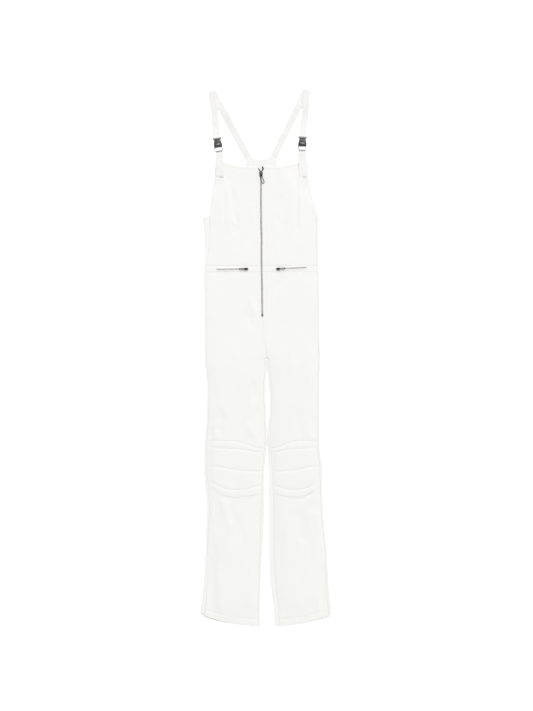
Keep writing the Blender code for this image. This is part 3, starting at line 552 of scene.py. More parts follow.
def wall_faces(kept: Array) -> list[list[int]]:
    """Faces of a closed wall: its kept cells above and below, and its rim.

    Args:
        kept: (rows - 1, columns - 1) mask of the cells that are cloth.
    Returns:
        Faces over the upper points, then the lower points.
    """
    rows, columns = kept.shape[0] + 1, kept.shape[1] + 1
    upper = np.arange(rows * columns).reshape(rows, columns)
    below = rows * columns
    ring = (upper[:-1, :-1], upper[:-1, 1:], upper[1:, 1:], upper[1:, :-1])
    framed = np.pad(kept, 1)
    beside = (framed[:-2, 1:-1], framed[1:-1, 2:], framed[2:, 1:-1], framed[1:-1, :-2])
    parts = [np.stack(ring, -1)[kept], np.stack(ring[::-1], -1)[kept] + below]
    for step in range(4):
        rim = kept & ~beside[step]
        first, second = ring[step][rim], ring[(step + 1) % 4][rim]
        parts.append(np.stack([first, first + below, second + below, second], -1))
    return np.concatenate(parts).tolist()


def make_wall(
    name: str,
    upper: Array,
    lower: Array,
    material: bpy.types.Material,
    kept: Array | None = None,
    uv: Array | None = None,
) -> bpy.types.Object:
    """A closed wall of cloth between two grids of points.

    Args:
        name: The piece's name.
        upper: (rows, columns, 3) points of its outer face.
        lower: The same of its inner face.
        material: Its finish.
        kept: Mask of the cells that are cloth, or None for all.
        uv: (rows, columns, 2) map places, or None.
    Returns:
        The piece's object.
    """
    if kept is None:
        kept = np.ones((upper.shape[0] - 1, upper.shape[1] - 1), bool)
    points = np.concatenate([upper.reshape(-1, 3), lower.reshape(-1, 3)])
    both = None if uv is None else np.concatenate([uv.reshape(-1, 2)] * 2)
    return make_piece(name, points, wall_faces(kept), material, uv=both)


def loft_faces(sections: int, around: int, closed: bool) -> list[list[int]]:
    """Faces of a skin over rings of points, capped at both ends unless it closes on itself.

    Args:
        sections: How many rings.
        around: How many points in each.
        closed: Whether the last ring joins the first.
    Returns:
        Faces over the rings' points in order.
    """
    rings = np.arange(sections * around).reshape(sections, around)
    if closed:
        here, there = rings, np.roll(rings, -1, axis=0)
    else:
        here, there = rings[:-1], rings[1:]
    quads = np.stack([here, np.roll(here, -1, 1), np.roll(there, -1, 1), there], -1)
    faces = quads.reshape(-1, 4).tolist()
    if not closed:
        faces += [rings[0][::-1].tolist(), rings[-1].tolist()]
    return faces


def rounded_ring(half_width: Array, half_height: Array, corner: Array, steps: int = 4) -> Array:
    """Rings of a rectangle with round corners: a quarter circle at each corner.

    Args:
        half_width: (N,) half widths.
        half_height: (N,) half heights.
        corner: (N,) corner radii.
        steps: Points less one along each quarter circle.
    Returns:
        (N, 4 * (steps + 1), 2) points, anticlockwise.
    """
    angle = np.radians(90 * (np.arange(4)[:, None] + np.linspace(0, 1, steps + 1))).ravel()
    sign_x = np.repeat([1.0, -1.0, -1.0, 1.0], steps + 1)
    sign_y = np.repeat([1.0, 1.0, -1.0, -1.0], steps + 1)
    wide, high, round_by = (np.atleast_1d(v).astype(float)[:, None] for v in (half_width, half_height, corner))
    wide, high, round_by = np.broadcast_arrays(wide, high, round_by)
    x = sign_x * (wide - round_by) + round_by * np.cos(angle)
    y = sign_y * (high - round_by) + round_by * np.sin(angle)
    return np.stack([x, y], -1)


def swept(path: Array, section: Array, closed: bool, up: Array) -> Array:
    """Rings of a section carried along a path, each square to it.

    Side = up x heading, and top = heading x side.

    Args:
        path: (N, 3) points.
        section: (M, 2) points: along the side, and along the top.
        closed: Whether the path joins its own start.
        up: (3,) or (N, 3) direction that the section's top leans to.
    Returns:
        (N, M, 3) points.
    """
    if closed:
        heading = np.roll(path, -1, axis=0) - np.roll(path, 1, axis=0)
    else:
        heading = np.gradient(path, axis=0)
    heading = heading / np.linalg.norm(heading, axis=1, keepdims=True)
    side = np.cross(np.broadcast_to(up, heading.shape), heading)
    side = side / np.linalg.norm(side, axis=1, keepdims=True)
    top = np.cross(heading, side)
    return path[:, None] + side[:, None] * section[:, :1] + top[:, None] * section[:, 1:]


def resampled(path: Array, at: Array) -> Array:
    """Points of a path at given distances along it.

    Args:
        path: (N, 3) points.
        at: (K,) distances from its start.
    Returns:
        (K, 3) points.
    """
    gone = np.concatenate([[0.0], np.cumsum(np.linalg.norm(np.diff(path, axis=0), axis=1))])
    return np.stack([np.interp(at, gone, path[:, axis]) for axis in range(3)], -1)


@dataclass
class Sewing:
    """Rows of thread on one part of the garment, made into one piece."""

    name: str
    length: float = 2.7
    gap: float = 0.8
    radius: float = 0.30
    rings: list[Array] = field(default_factory=list)

    def row(self, path: Array, down: float = 0.06) -> None:
        """Lay one row of stitches: each a bead that arches out of the cloth and back into it.

        A stitch is a tube round its own line, thick as the root of 1 - t^2, that rises as 1 - t^2.

        Args:
            path: (N, 3) places on the cloth's face.
            down: How far the thread is sunk.
        """
        total = float(np.linalg.norm(np.diff(path, axis=0), axis=1).sum())
        count = int(total / (self.length + self.gap))
        if count < 1:
            return
        pitch = total / count
        starts = (np.arange(count) + 0.12) * pitch
        first = resampled(path, starts)
        last = resampled(path, starts + pitch * 0.77)
        along = last - first
        length = np.linalg.norm(along, axis=1, keepdims=True)
        along = along / length
        up = np.array([0.0, 0.0, 1.0])
        side = np.cross(up, along)
        side = side / np.linalg.norm(side, axis=1, keepdims=True)
        top = np.cross(along, side)
        t = np.array([-1.0, -0.55, 0.0, 0.55, 1.0])
        thick = self.radius * np.sqrt(1 - (0.93 * t) ** 2)
        rise = self.radius * 1.1 * (1 - t**2) - down - self.radius * 0.5
        angle = np.radians(np.arange(6) * 60.0)
        middle = (first + last) / 2
        centre = middle[:, None] + along[:, None] * (t[:, None] * 0.5) * length[:, None]
        centre = centre + top[:, None] * rise[:, None]
        ring = side[:, None, None] * np.cos(angle)[:, None] + top[:, None, None] * np.sin(angle)[:, None]
        self.rings.append(centre[:, :, None] + ring * thick[:, None, None])

    def build(self, material: bpy.types.Material) -> bpy.types.Object:
        """Make all the rows one piece.

        Args:
            material: The thread's finish.
        Returns:
            The piece's object.
        """
        rings = np.concatenate(self.rings)
        template = loft_faces(5, 6, closed=False)
        faces = [[k + 30 * stitch for k in face] for stitch in range(len(rings)) for face in template]
        return make_piece(self.name, rings.reshape(-1, 3), faces, material)


# ---------------------------------------------------------------- front


@dataclass(frozen=True)
class Guide:
    """A line across a panel: its height as a function of the share of the front's width."""

    height: Callable[[Array], Array]
    kind: Line


def level(y: float) -> Callable[[Array], Array]:
    """A level guide at height y."""
    return lambda u: np.full_like(np.asarray(u, dtype=float), y)


def moved(curve: Callable[[Array], Array], by: float) -> Callable[[Array], Array]:
    """A guide moved along Y by a distance."""
    return lambda u: curve(u) + by


CLUSTERS = {
    Line.SEAM: (0.0, 0.3, 0.75, 1.4, 2.4, 4.0, 6.2),
    Line.STITCH: (0.0, 0.6, 1.3, 2.4, 4.0, 6.5),
    Line.STEP: (0.0, 0.3, 0.8, 1.8, 3.5),
    Line.PLAIN: (0.0,),
}


def spaced(low: Array, high: Array, marks: tuple[Line, Line], pitch: float) -> Array:
    """Heights from one guide to the next, closer together near seams and stitches.

    Args:
        low: (columns,) heights of the lower guide.
        high: The same of the upper one.
        marks: What runs along each of them.
        pitch: Distance between heights away from both.
    Returns:
        (rows, columns) heights, both guides among them.
    """
    least = float(np.min(high - low))
    near_low = np.array([d for d in CLUSTERS[marks[0]] if d < 0.46 * least])
    near_high = np.array([d for d in CLUSTERS[marks[1]] if d < 0.46 * least])[::-1]
    start = low + near_low[-1]
    end = high - near_high[0]
    count = max(2, int(round(float(np.max(end - start)) / pitch)))
    middle = start + (end - start) * np.linspace(0, 1, count + 1)[1:-1, None]
    return np.concatenate([low + near_low[:, None], middle, high - near_high[:, None]])


@dataclass
class Panel:
    """One front piece of one side, one wall thick, on the form that the tables give."""

    name: str
    side: Side
    guides: tuple[Guide, ...]
    puff: float = 0.0
    outer_marks: tuple[float, ...] = ()
    inner_marks: tuple[float, ...] = ()
    centre_marks: tuple[float, ...] = ()
    outer_from: float = -1e4
    centre_from: float = -1e4
    pitch: float = 3.6
    pushed: Callable[[Array, Array], Array] | None = None

    def columns(self) -> Array:
        """Shares of the width, closer together near the side edges and along the marked lines.

        Returns:
            Shares from 0 at the outer edge to 1 at the inner one.
        """
        y = np.linspace(
            float(np.mean(self.guides[0].height(np.array([0.5])))),
            float(np.mean(self.guides[-1].height(np.array([0.5])))), 9,
        )
        width = float(np.mean(np.abs(LIE.inner(self.side, y) - LIE.outer(self.side, y))))

        def offsets(marks: tuple[float, ...]) -> Array:
            """Distances from an edge: those near it, and those near each marked line."""
            near = [np.array(CLUSTERS[Line.SEAM])]
            near += [mark + np.array([-2.6, -1.3, -0.6, 0.0, 0.6, 1.3, 2.6]) for mark in marks]
            return np.unique(np.round(np.concatenate(near), 3))

        beside_zip = tuple(mark - CHAIN_HALF - 2 * SEAM for mark in self.centre_marks)
        outer, inner = offsets(self.outer_marks), offsets(self.inner_marks + beside_zip)
        first, last = outer[-1], width - inner[-1]
        count = max(2, int(round((last - first) / self.pitch)))
        middle = np.linspace(first, last, count + 1)[1:-1]
        gone = np.concatenate([outer, middle, width - inner[::-1]])
        keep = np.concatenate([[True], np.diff(gone) > 0.2])
        gone = gone[keep]
        gone[-1] = width
        return gone / width

    def inside(self, x: Array, y: Array) -> Array:
        """Height of the inner face.

        Args:
            x: Places along X.
            y: Places along Y.
        Returns:
            Height over the floor.
        """
        z = LIE.inside(self.side, x, y)
        return z + self.pushed(x, y) if self.pushed else z

    def face(self, x: Array, y: Array) -> Array:
        """Height of the outer face: a wall over the inner one, less its seams and sewn grooves, and padded.

        The padding rises as a quarter circle over 11 mm from each line across it, 20 mm from its sides.

        Args:
            x: Places along X.
            y: Places along Y.
        Returns:
            Height over the floor.
        """
        u = LIE.share(self.side, x, y)
        to_outer = np.abs(x - LIE.outer(self.side, y))
        to_inner = np.abs(x - LIE.inner(self.side, y))
        down = np.zeros_like(x)
        nearest = np.full_like(x, 1e3)
        for guide in self.guides:
            away = np.abs(y - guide.height(u))
            if guide.kind is Line.SEAM:
                down = np.maximum(down, seam_drop(away))
            elif guide.kind is Line.STITCH:
                down = np.maximum(down, stitch_groove(away))
            if guide.kind in (Line.SEAM, Line.STITCH):
                nearest = np.minimum(nearest, away)
        down = np.maximum(down, seam_drop(to_outer))
        down = np.maximum(down, seam_drop(to_inner))
        to_centre = np.abs(x - LIE.centre(y))
        for edge, marks, low in (
            (to_outer, self.outer_marks, self.outer_from), (to_inner, self.inner_marks, -1e4),
            (to_centre, self.centre_marks, self.centre_from),
        ):
            for mark in marks:
                down = np.maximum(down, stitch_groove(np.abs(edge - mark)) * ease((y - low) / 6))
        thick = WALL - down
        if self.puff:
            beside = np.minimum(to_outer - 14.0, to_inner - 6.0)
            over = 1 - np.clip(nearest / 11, 0, 1)
            aside = 1 - np.clip(beside / 20, 0, 1)
            thick = thick + self.puff * np.sqrt(1 - over**2 + 1e-9) * np.sqrt(1 - aside**2 + 1e-9)
            pucker = drift(x, y, 4.3, 70.0, 8.5) + 0.6 * drift(x, y, 1.1, 90.0, 5.1)
            thick = thick + 0.20 * pucker * np.exp(-((nearest / 6) ** 2)) * (nearest / (nearest + 0.8))
        return self.inside(x, y) + np.maximum(thick, 0.45)

    def build(self, material: bpy.types.Material) -> bpy.types.Object:
        """Make the piece on its grid: x from its edges at each row's ends, y from its guides.

        Args:
            material: The cloth's finish.
        Returns:
            The piece's object.
        """
        u = self.columns()
        rows = []
        for low, high in zip(self.guides[:-1], self.guides[1:]):
            part = spaced(low.height(u), high.height(u), (low.kind, high.kind), self.pitch)
            rows.append(part if not rows else part[1:])
        y = np.concatenate(rows)
        outer = LIE.outer(self.side, y[:, :1])
        inner = LIE.inner(self.side, y[:, -1:])
        x = outer + (inner - outer) * u
        lower = np.stack([x, y, self.inside(x, y)], -1)
        upper = np.stack([x, y, self.face(x, y)], -1)
        return make_wall(self.name, upper, lower, material)

    def on(self, x: Array, y: Array) -> Array:
        """(N, 3) places on the outer face over (x, y)."""
        x, y = np.broadcast_arrays(np.asarray(x, dtype=float), np.asarray(y, dtype=float))
        return np.stack([x, y, self.face(x, y)], -1)


# ---------------------------------------------------------------- back


@dataclass
class Turned:
    """A back piece: flat on the floor, wrapped round its edges and back on top to its seams."""

    name: str
    steps: int = 9
    flats: int = 26

    def edge(self, fold: Array, seam: Array, direction: float) -> tuple[Array, Array]:
        """Section from the seam on top round the fold to the start of the flat.

        The outer face is a half circle of 1.95 mm, the inner one of 0.15 mm, about one centre.

        Args:
            fold: (rows,) X of the outline.
            seam: (rows,) X of the seam.
            direction: Which way the fold faces along X.
        Returns:
            (rows, points, 2) x and z of the outer face, and of the inner one.
        """
        centre = (fold - direction * FOLD_OUTER)[:, None]
        run = centre - seam[:, None]
        start = np.array([0.0, 0.3, 0.75, 1.4, 2.4])
        start = np.broadcast_to(start, (len(fold), len(start))) * np.sign(run)
        start = np.where(np.abs(start) < 0.8 * np.abs(run), start, 0.8 * run)
        on_top = seam[:, None] + np.concatenate([start, start[:, -1:] + (run - start[:, -1:]) * 0.5], 1)
        down = seam_drop(np.abs(on_top - seam[:, None]))
        angle = np.linspace(math.pi / 2, -math.pi / 2, self.steps)
        arc = direction * np.cos(angle)
        sink = seam_drop(np.abs(run)) * (1 + np.sin(angle)) / 2
        outer_x = np.concatenate([on_top, centre + arc * FOLD_OUTER], 1)
        outer_z = np.concatenate([2 * FOLD_OUTER - down, FOLD_OUTER * (1 + np.sin(angle)) - sink], 1)
        inner_x = np.concatenate([on_top, centre + arc * FOLD_INNER], 1)
        inner_z = np.concatenate(
            [np.full_like(down, FOLD_OUTER + FOLD_INNER),
             FOLD_OUTER + FOLD_INNER * np.sin(angle) + 0 * sink], 1,
        )
        return np.stack([outer_x, outer_z], -1), np.stack([inner_x, inner_z], -1)

    def section(
        self, first: tuple[Array, Array, float], last: tuple[Array, Array, float], creased: Array
    ) -> tuple[Array, Array]:
        """Sections of the whole piece, row by row.

        Args:
            first: Fold, seam and direction of its first edge.
            last: The same of its last edge.
            creased: (rows, 1) heights, for its faint upward creases.
        Returns:
            (rows, points, 2) x and z of the outer face, and of the inner one.
        """
        outer_first, inner_first = self.edge(*first)
        outer_last, inner_last = self.edge(*last)
        low, high = outer_first[:, -1:, 0], outer_last[:, -1:, 0]
        share = np.linspace(0, 1, self.flats + 2)[1:-1]
        x = low + (high - low) * share
        fade = ease(share / 0.12) * ease((1 - share) / 0.12)
        crease = 0.32 * fade * np.maximum(drift(x, creased, 1.9, 260.0, 75.0), 0)
        crease = crease + 0.25 * fade * np.maximum(drift(x, creased, 3.3, 90.0, 60.0) - 0.2, 0)
        outer = np.concatenate([outer_first, np.stack([x, crease], -1), outer_last[:, ::-1]], 1)
        inner = np.concatenate([inner_first, np.stack([x, crease + WALL], -1), inner_last[:, ::-1]], 1)
        return outer, inner

    @property
    def turned(self) -> int:
        """Columns that one turned edge takes."""
        return 6 + self.steps

    def spread(self, share_ends: tuple[Array, Array, Array, Array], flat: Array) -> Array:
        """Y of every column of a section.

        Args:
            share_ends: Heights at the first seam, first fold, last fold and last seam.
            flat: (rows, flats) heights of the flat columns.
        Returns:
            (rows, columns) heights.
        """
        seam_a, fold_a, fold_b, seam_b = (v[:, None] for v in share_ends)
        way = np.concatenate([np.linspace(0, 0.8, 6), np.ones(self.steps)])
        first = seam_a + (fold_a - seam_a) * way
        last = (seam_b + (fold_b - seam_b) * way)[:, ::-1]
        return np.concatenate([first, flat, last], 1)


@dataclass
class BackLeg(Turned):
    """Back of one leg, from the hem to the waist."""

    side: Side = Side.LEFT
    pitch: float = 6.0

    def rows(self) -> Array:
        """Heights of its rows before the hem bends them, bottom first.

        Returns:
            (rows,) heights.
        """
        hem = HEM_LEVEL + np.array([0.0, 0.4, 1.0, 2.0, 3.5])
        marks = np.array([HEM_LEVEL + 20.0, HEM_LEVEL + 21.0, HEM_LEVEL + 22.0])
        leg = np.arange(HEM_LEVEL + 7, CROTCH - 1.5, self.pitch)
        leg = leg[(np.abs(leg - marks[1]) > 2.5) & (leg < CROTCH - 3)]
        top = WAIST - GAP / 2
        seat = np.linspace(CROTCH + 7, top - 6, 42)
        near_top = top - np.array([4.0, 2.4, 1.4, 0.75, 0.3, 0.0])
        return np.sort(np.concatenate([hem, marks, leg, [CROTCH - 1], seat, near_top]))

    def build(self, material: bpy.types.Material) -> bpy.types.Object:
        """Make the piece: a turned edge at the side, and one at the inside leg up to the crotch.

        Args:
            material: The cloth's finish.
        Returns:
            The piece's object.
        """
        out = self.side.out
        base = self.rows()
        share = np.linspace(0, 1, self.flats + 2)[1:-1]

        def bent(u: Array) -> Array:
            """Heights of all rows at shares u."""
            return np.where(
                base[:, None] < HEM_LEVEL + HEM_REACH,
                LIE.hem_edge(np.broadcast_to(u, (len(base), len(u))), base[:, None]),
                base[:, None],
            )

        ends = bent(np.array([0.0, -0.08, 1.07, 1.0])).T
        y = self.spread(tuple(ends), bent(share))
        side_edge = (
            LIE.outline[self.side](ends[1]), LIE.outer(self.side, ends[0]) + out * GAP, out,
        )
        centre = LIE.centre(ends[2]) + out * (HALF_SEAM - FOLD_OUTER)
        fold = np.where(ends[2] < CROTCH, LIE.inseam[self.side](ends[2]), centre)
        inner_edge = (fold, LIE.inner(self.side, ends[3]) - out * GAP, -out)
        outer, inner = self.section(side_edge, inner_edge, y.mean(axis=1, keepdims=True))
        upper = np.stack([outer[..., 0], y, outer[..., 1]], -1)
        lower = np.stack([inner[..., 0], y, inner[..., 1]], -1)
        kept = np.ones((upper.shape[0] - 1, upper.shape[1] - 1), bool)
        above = ends[2] > CROTCH - 2
        kept[above[:-1], self.turned + self.flats:] = False
        return make_wall(self.name, upper, lower, material, kept=kept)


YOKE_TOP = 591.0


@dataclass
class BackBodice(Turned):
    """The back above the waist: turned to the side seams, then narrowing to the yoke."""

    low_pitch: float = 5.0

    def yoke_rise(self, share: Array, y: Array) -> Array:
        """What the yoke's curved top adds: up toward both straps, and level with it between.

        Args:
            share: (columns,) share of its width.
            y: (rows, 1) heights.
        Returns:
            (rows, columns) heights to add.
        """
        curve = Curve([
            (0.0, 0.0), (0.2, 10.0), (0.29, 5.2), (0.39, 2.6), (0.5, 1.6), (0.61, 2.5), (0.71, 5.0),
            (0.8, 9.6), (1.0, 0.0),
        ])
        return ease((y - YOKE_TOP + 30) / 30) * curve(share)

    def build(self, material: bpy.types.Material) -> bpy.types.Object:
        """Make the piece: its turned edges end at the underarm, in a slanted end.

        Args:
            material: The cloth's finish.
        Returns:
            The piece's object.
        """
        start = WAIST + GAP / 2
        low = np.concatenate([
            start + np.array([0.0, 0.3, 0.75, 1.4, 2.4, 4.0]), np.arange(start + 8, UNDERARM - 3, self.low_pitch),
            [UNDERARM],
        ])
        high = np.concatenate([np.arange(426.0, YOKE_TOP - 3, 5.0), YOKE_TOP - np.array([2.0, 1.0, 0.4, 0.0])])
        stations = np.concatenate([low, high])
        share = np.linspace(0, 1, self.flats + 2)[1:-1]
        edges = []
        for side in Side:
            fold = np.where(
                stations <= UNDERARM, LIE.outline[side](stations),
                LIE.back_armhole[side](stations) + side.out * FOLD_OUTER,
            )
            loose = GAP + 2 * SEAM * ease((stations - UNDERARM + 40) / 40)
            edges.append((fold, LIE.outer(side, stations) + side.out * loose, side.out))
        slant = np.where(stations <= UNDERARM, UNDERARM_SLANT * ease((stations - UNDERARM + 40) / 40), 0)
        flat = stations[:, None] + self.yoke_rise(share, stations[:, None])
        y = self.spread((stations + slant, stations, stations, stations + slant), flat)
        outer, inner = self.section(edges[0], edges[1], stations[:, None])
        upper = np.stack([outer[..., 0], y, outer[..., 1]], -1)
        lower = np.stack([inner[..., 0], y, inner[..., 1]], -1)
        kept = np.ones((upper.shape[0] - 1, upper.shape[1] - 1), bool)
        kept[len(low) - 1:, :self.turned] = False
        kept[len(low) - 1:, self.turned + self.flats:] = False
        return make_wall(self.name, upper, lower, material, kept=kept)


# ---------------------------------------------------------------- straps and buckles

STRAP_WIDTH = 22.0
STRAP_BOW = 3.0
FOLD_RADIUS = 0.82
LOOP_RADIUS = 1.95
BAR_HEIGHT = 3.2
TONGUE_BAR = 22.1
BAIL_HALF = 11.5
BAIL_RADIUS = 0.95
BAIL_LEVEL = 4.7
BAIL_BOTTOM = -19.2
BAIL_TOP = 3.0
TAB_WIDTH = 25.0
TAB_LEVEL = 0.6
TAB_END = 540.0
RETURN_LENGTH = 15.0


def unit(vector: Array) -> Array:
    """The same direction, one long."""
    return vector / np.linalg.norm(vector)


@dataclass(frozen=True)
class StrapPlan:
    """Where one strap starts, folds and meets its buckle, and how its buckle is tilted."""

    side: Side
    seat: Place
    fold: Place
    buckle: Place
    tilt: float
    tab_end: float

    @property
    def axis(self) -> Array:
        """Direction up the buckle in plan."""
        turn = math.radians(self.tilt)
        return np.array([-math.sin(turn), math.cos(turn)])

    @property
    def right(self) -> Array:
        """Direction across the buckle in plan."""
        return np.array([self.axis[1], -self.axis[0]])

    def place(self, points: Array) -> Array:
        """Points of the buckle's own frame, put in the garment's."""
        flat = np.array(self.buckle) + points[..., :1] * self.right + points[..., 1:2] * self.axis
        return np.concatenate([flat, points[..., 2:]], -1)


STRAPS = (
    StrapPlan(Side.LEFT, (-52.0, 596.0), (-161.1, 798.5), (-144.0, 636.6), 9.0, -138.6),
    StrapPlan(Side.RIGHT, (20.7, 596.0), (122.4, 801.5), (109.1, 639.8), -2.5, 111.6),
)
STRAP_LEVELS = Curve(
    [(0, BAR_HEIGHT + LOOP_RADIUS), (9, 3.4), (17, 2.6), (38, 0.75), (58, 0.75), (96, 1.8), (132, 2.39), (200, 2.39)]
)


@dataclass
class Strap:
    """One band from the yoke up over the shoulder fold, down and round the buckle's bar."""

    plan: StrapPlan
    half: float = STRAP_WIDTH / 2
    wall: float = STRAP_WALL
    blend_over: float = 26.0

    def stations(self) -> tuple[Array, Array]:
        """The band's middle line and the half vectors across it.

        Over the shoulder it is rolled as paper is: q past the fold line lies r sin(q / r) past it and
        r (1 - cos(q / r)) up, with every row along the crease.

        Returns:
            (N, 3) middle points and (N, 3) half vectors.
        """
        plan, half = self.plan, self.half
        seat, fold = np.array(plan.seat), np.array(plan.fold)
        up = unit(fold - seat)
        bar = np.array(plan.buckle) + plan.axis * TONGUE_BAR
        crease = unit(unit(bar + plan.axis * 50 - fold) + up)
        normal = np.array([-crease[1], crease[0]])
        normal = normal * np.sign(normal @ up)
        side = np.array([up[1], -up[0]])
        back_level = self.wall / 2
        turn = math.pi * FOLD_RADIUS
        lean = (crease @ up) / (crease @ side)

        def flat_rows(points: Array, heading: Array, z: Array, slope: Array) -> tuple[Array, Array]:
            """Rows of a flat run: their half vectors lean along the heading by a slope."""
            right = np.stack([heading[:, 1], -heading[:, 0]], -1)
            across = (right + heading * slope[:, None]) * half
            return np.column_stack([points, z]), np.column_stack([across, np.zeros(len(points))])

        length = float(np.linalg.norm(fold - seat))
        gone = np.concatenate([
            [-0.6, -0.4, 0.0, 0.7, 2.0], np.linspace(4.5, length - 1.0, int(length / 5)),
        ])
        rise_run = flat_rows(
            seat + up * gone[:, None], np.broadcast_to(up, (len(gone), 2)),
            np.full(len(gone), back_level), lean * ease((gone - length + self.blend_over) / self.blend_over),
        )
        q = np.linspace(0.0, turn, 15)
        rolled = (
            fold + normal * (FOLD_RADIUS * np.sin(q / FOLD_RADIUS))[:, None]
            + crease * ((up @ crease) * q / (up @ normal))[:, None]
        )
        roll_z = back_level + FOLD_RADIUS * (1 - np.cos(q / FOLD_RADIUS))
        across = (side + up * lean) * half
        roll = np.column_stack([rolled, roll_z]), np.tile([*across, 0.0], (len(q), 1))
        start = rolled[-1]
        heading = unit(crease * (up @ crease) - normal * (up @ normal))
        reach = float(np.linalg.norm(bar - start))
        t = np.linspace(0, 1, 61)[1:, None]
        path = (
            (2 * t**3 - 3 * t**2 + 1) * start + (t**3 - 2 * t**2 + t) * heading * reach
            + (3 * t**2 - 2 * t**3) * bar + (t**3 - t**2) * (-plan.axis) * reach
            + plan.right * STRAP_BOW * np.sin(math.pi * t) ** 2
        )
        way = np.gradient(np.concatenate([start[None], path]), axis=0)[1:]
        way = way / np.linalg.norm(way, axis=1, keepdims=True)
        from_start = np.linalg.norm(path - start, axis=1)
        levels = STRAP_LEVELS(np.linalg.norm(path - bar, axis=1))
        right0 = np.array([heading[1], -heading[0]])
        slope0 = (across @ heading) / (across @ right0)
        sign = np.sign(across @ right0)
        drop = flat_rows(path, way, levels, slope0 * (1 - ease(from_start / self.blend_over)))
        drop = drop[0], drop[1] * sign
        angle = np.radians(np.linspace(90, 270, 15)[1:])
        around = bar + plan.axis * (LOOP_RADIUS * np.cos(angle))[:, None]
        loop_z = BAR_HEIGHT + LOOP_RADIUS * np.sin(angle)
        across_bar = np.array([-plan.axis[1], plan.axis[0]]) * half * sign
        loop = np.column_stack([around, loop_z]), np.tile([*across_bar, 0.0], (len(angle), 1))
        back = np.linspace(0, RETURN_LENGTH, 5)[1:]
        under = np.column_stack([bar + plan.axis * back[:, None], BAR_HEIGHT - LOOP_RADIUS - 0.01 * back])
        end = under, np.tile([*across_bar, 0.0], (4, 1))
        if (drop[1][-1] @ loop[1][0]) < 0:
            loop = loop[0], -loop[1]
            end = end[0], -end[1]
        parts = (rise_run, roll, drop, loop, end)
        return np.concatenate([p[0] for p in parts]), np.concatenate([p[1] for p in parts])

    def build(self, material: bpy.types.Material) -> bpy.types.Object:
        """Make the band: thick as a flat bar with round edges, and mapped along its length.

        Args:
            material: The webbing's finish.
        Returns:
            The piece's object.
        """
        middle, across = self.stations()
        heading = np.gradient(middle, axis=0)
        top = np.cross(across, heading)
        top = top / np.linalg.norm(top, axis=1, keepdims=True)
        self.middle, self.across, self.top = middle, across, top
        j = np.array([0.0, 0.3, 0.6, 0.85, 0.93, 0.975, 1.0])
        j = np.concatenate([-j[::-1], j[1:]])
        edge = np.clip((np.abs(j) - 0.80) / 0.20, 0, 1)
        half_thick = self.wall / 2 * np.sqrt(1 - 0.93 * edge**2)
        upper = middle[:, None] + across[:, None] * j[:, None] + top[:, None] * half_thick[:, None]
        lower = middle[:, None] + across[:, None] * j[:, None] - top[:, None] * half_thick[:, None]
        gone = np.concatenate([[0.0], np.cumsum(np.linalg.norm(np.diff(middle, axis=0), axis=1))])
        uv = np.stack(np.broadcast_arrays(j * self.half * MM, gone[:, None] * MM), -1)
        return make_wall(f"strap_{self.plan.side.value}", upper, lower, material, uv=uv)

    def stitches(self, sewing: Sewing) -> None:
        """Rows that hold the band's return above the buckle, and a box where it is sewn to the yoke.

        Args:
            sewing: Where the rows go.
        """
        plan, half = self.plan, self.half
        bar = np.array(plan.buckle) + plan.axis * TONGUE_BAR
        for distance in (RETURN_LENGTH - 3.0, RETURN_LENGTH - 6.0):
            place = bar + plan.axis * distance
            ends = [place + plan.right * s * (half - 2.0) for s in (-1, 1)]
            z = float(STRAP_LEVELS(distance)) + self.wall / 2
            sewing.row(np.array([(*end, z) for end in ends]))


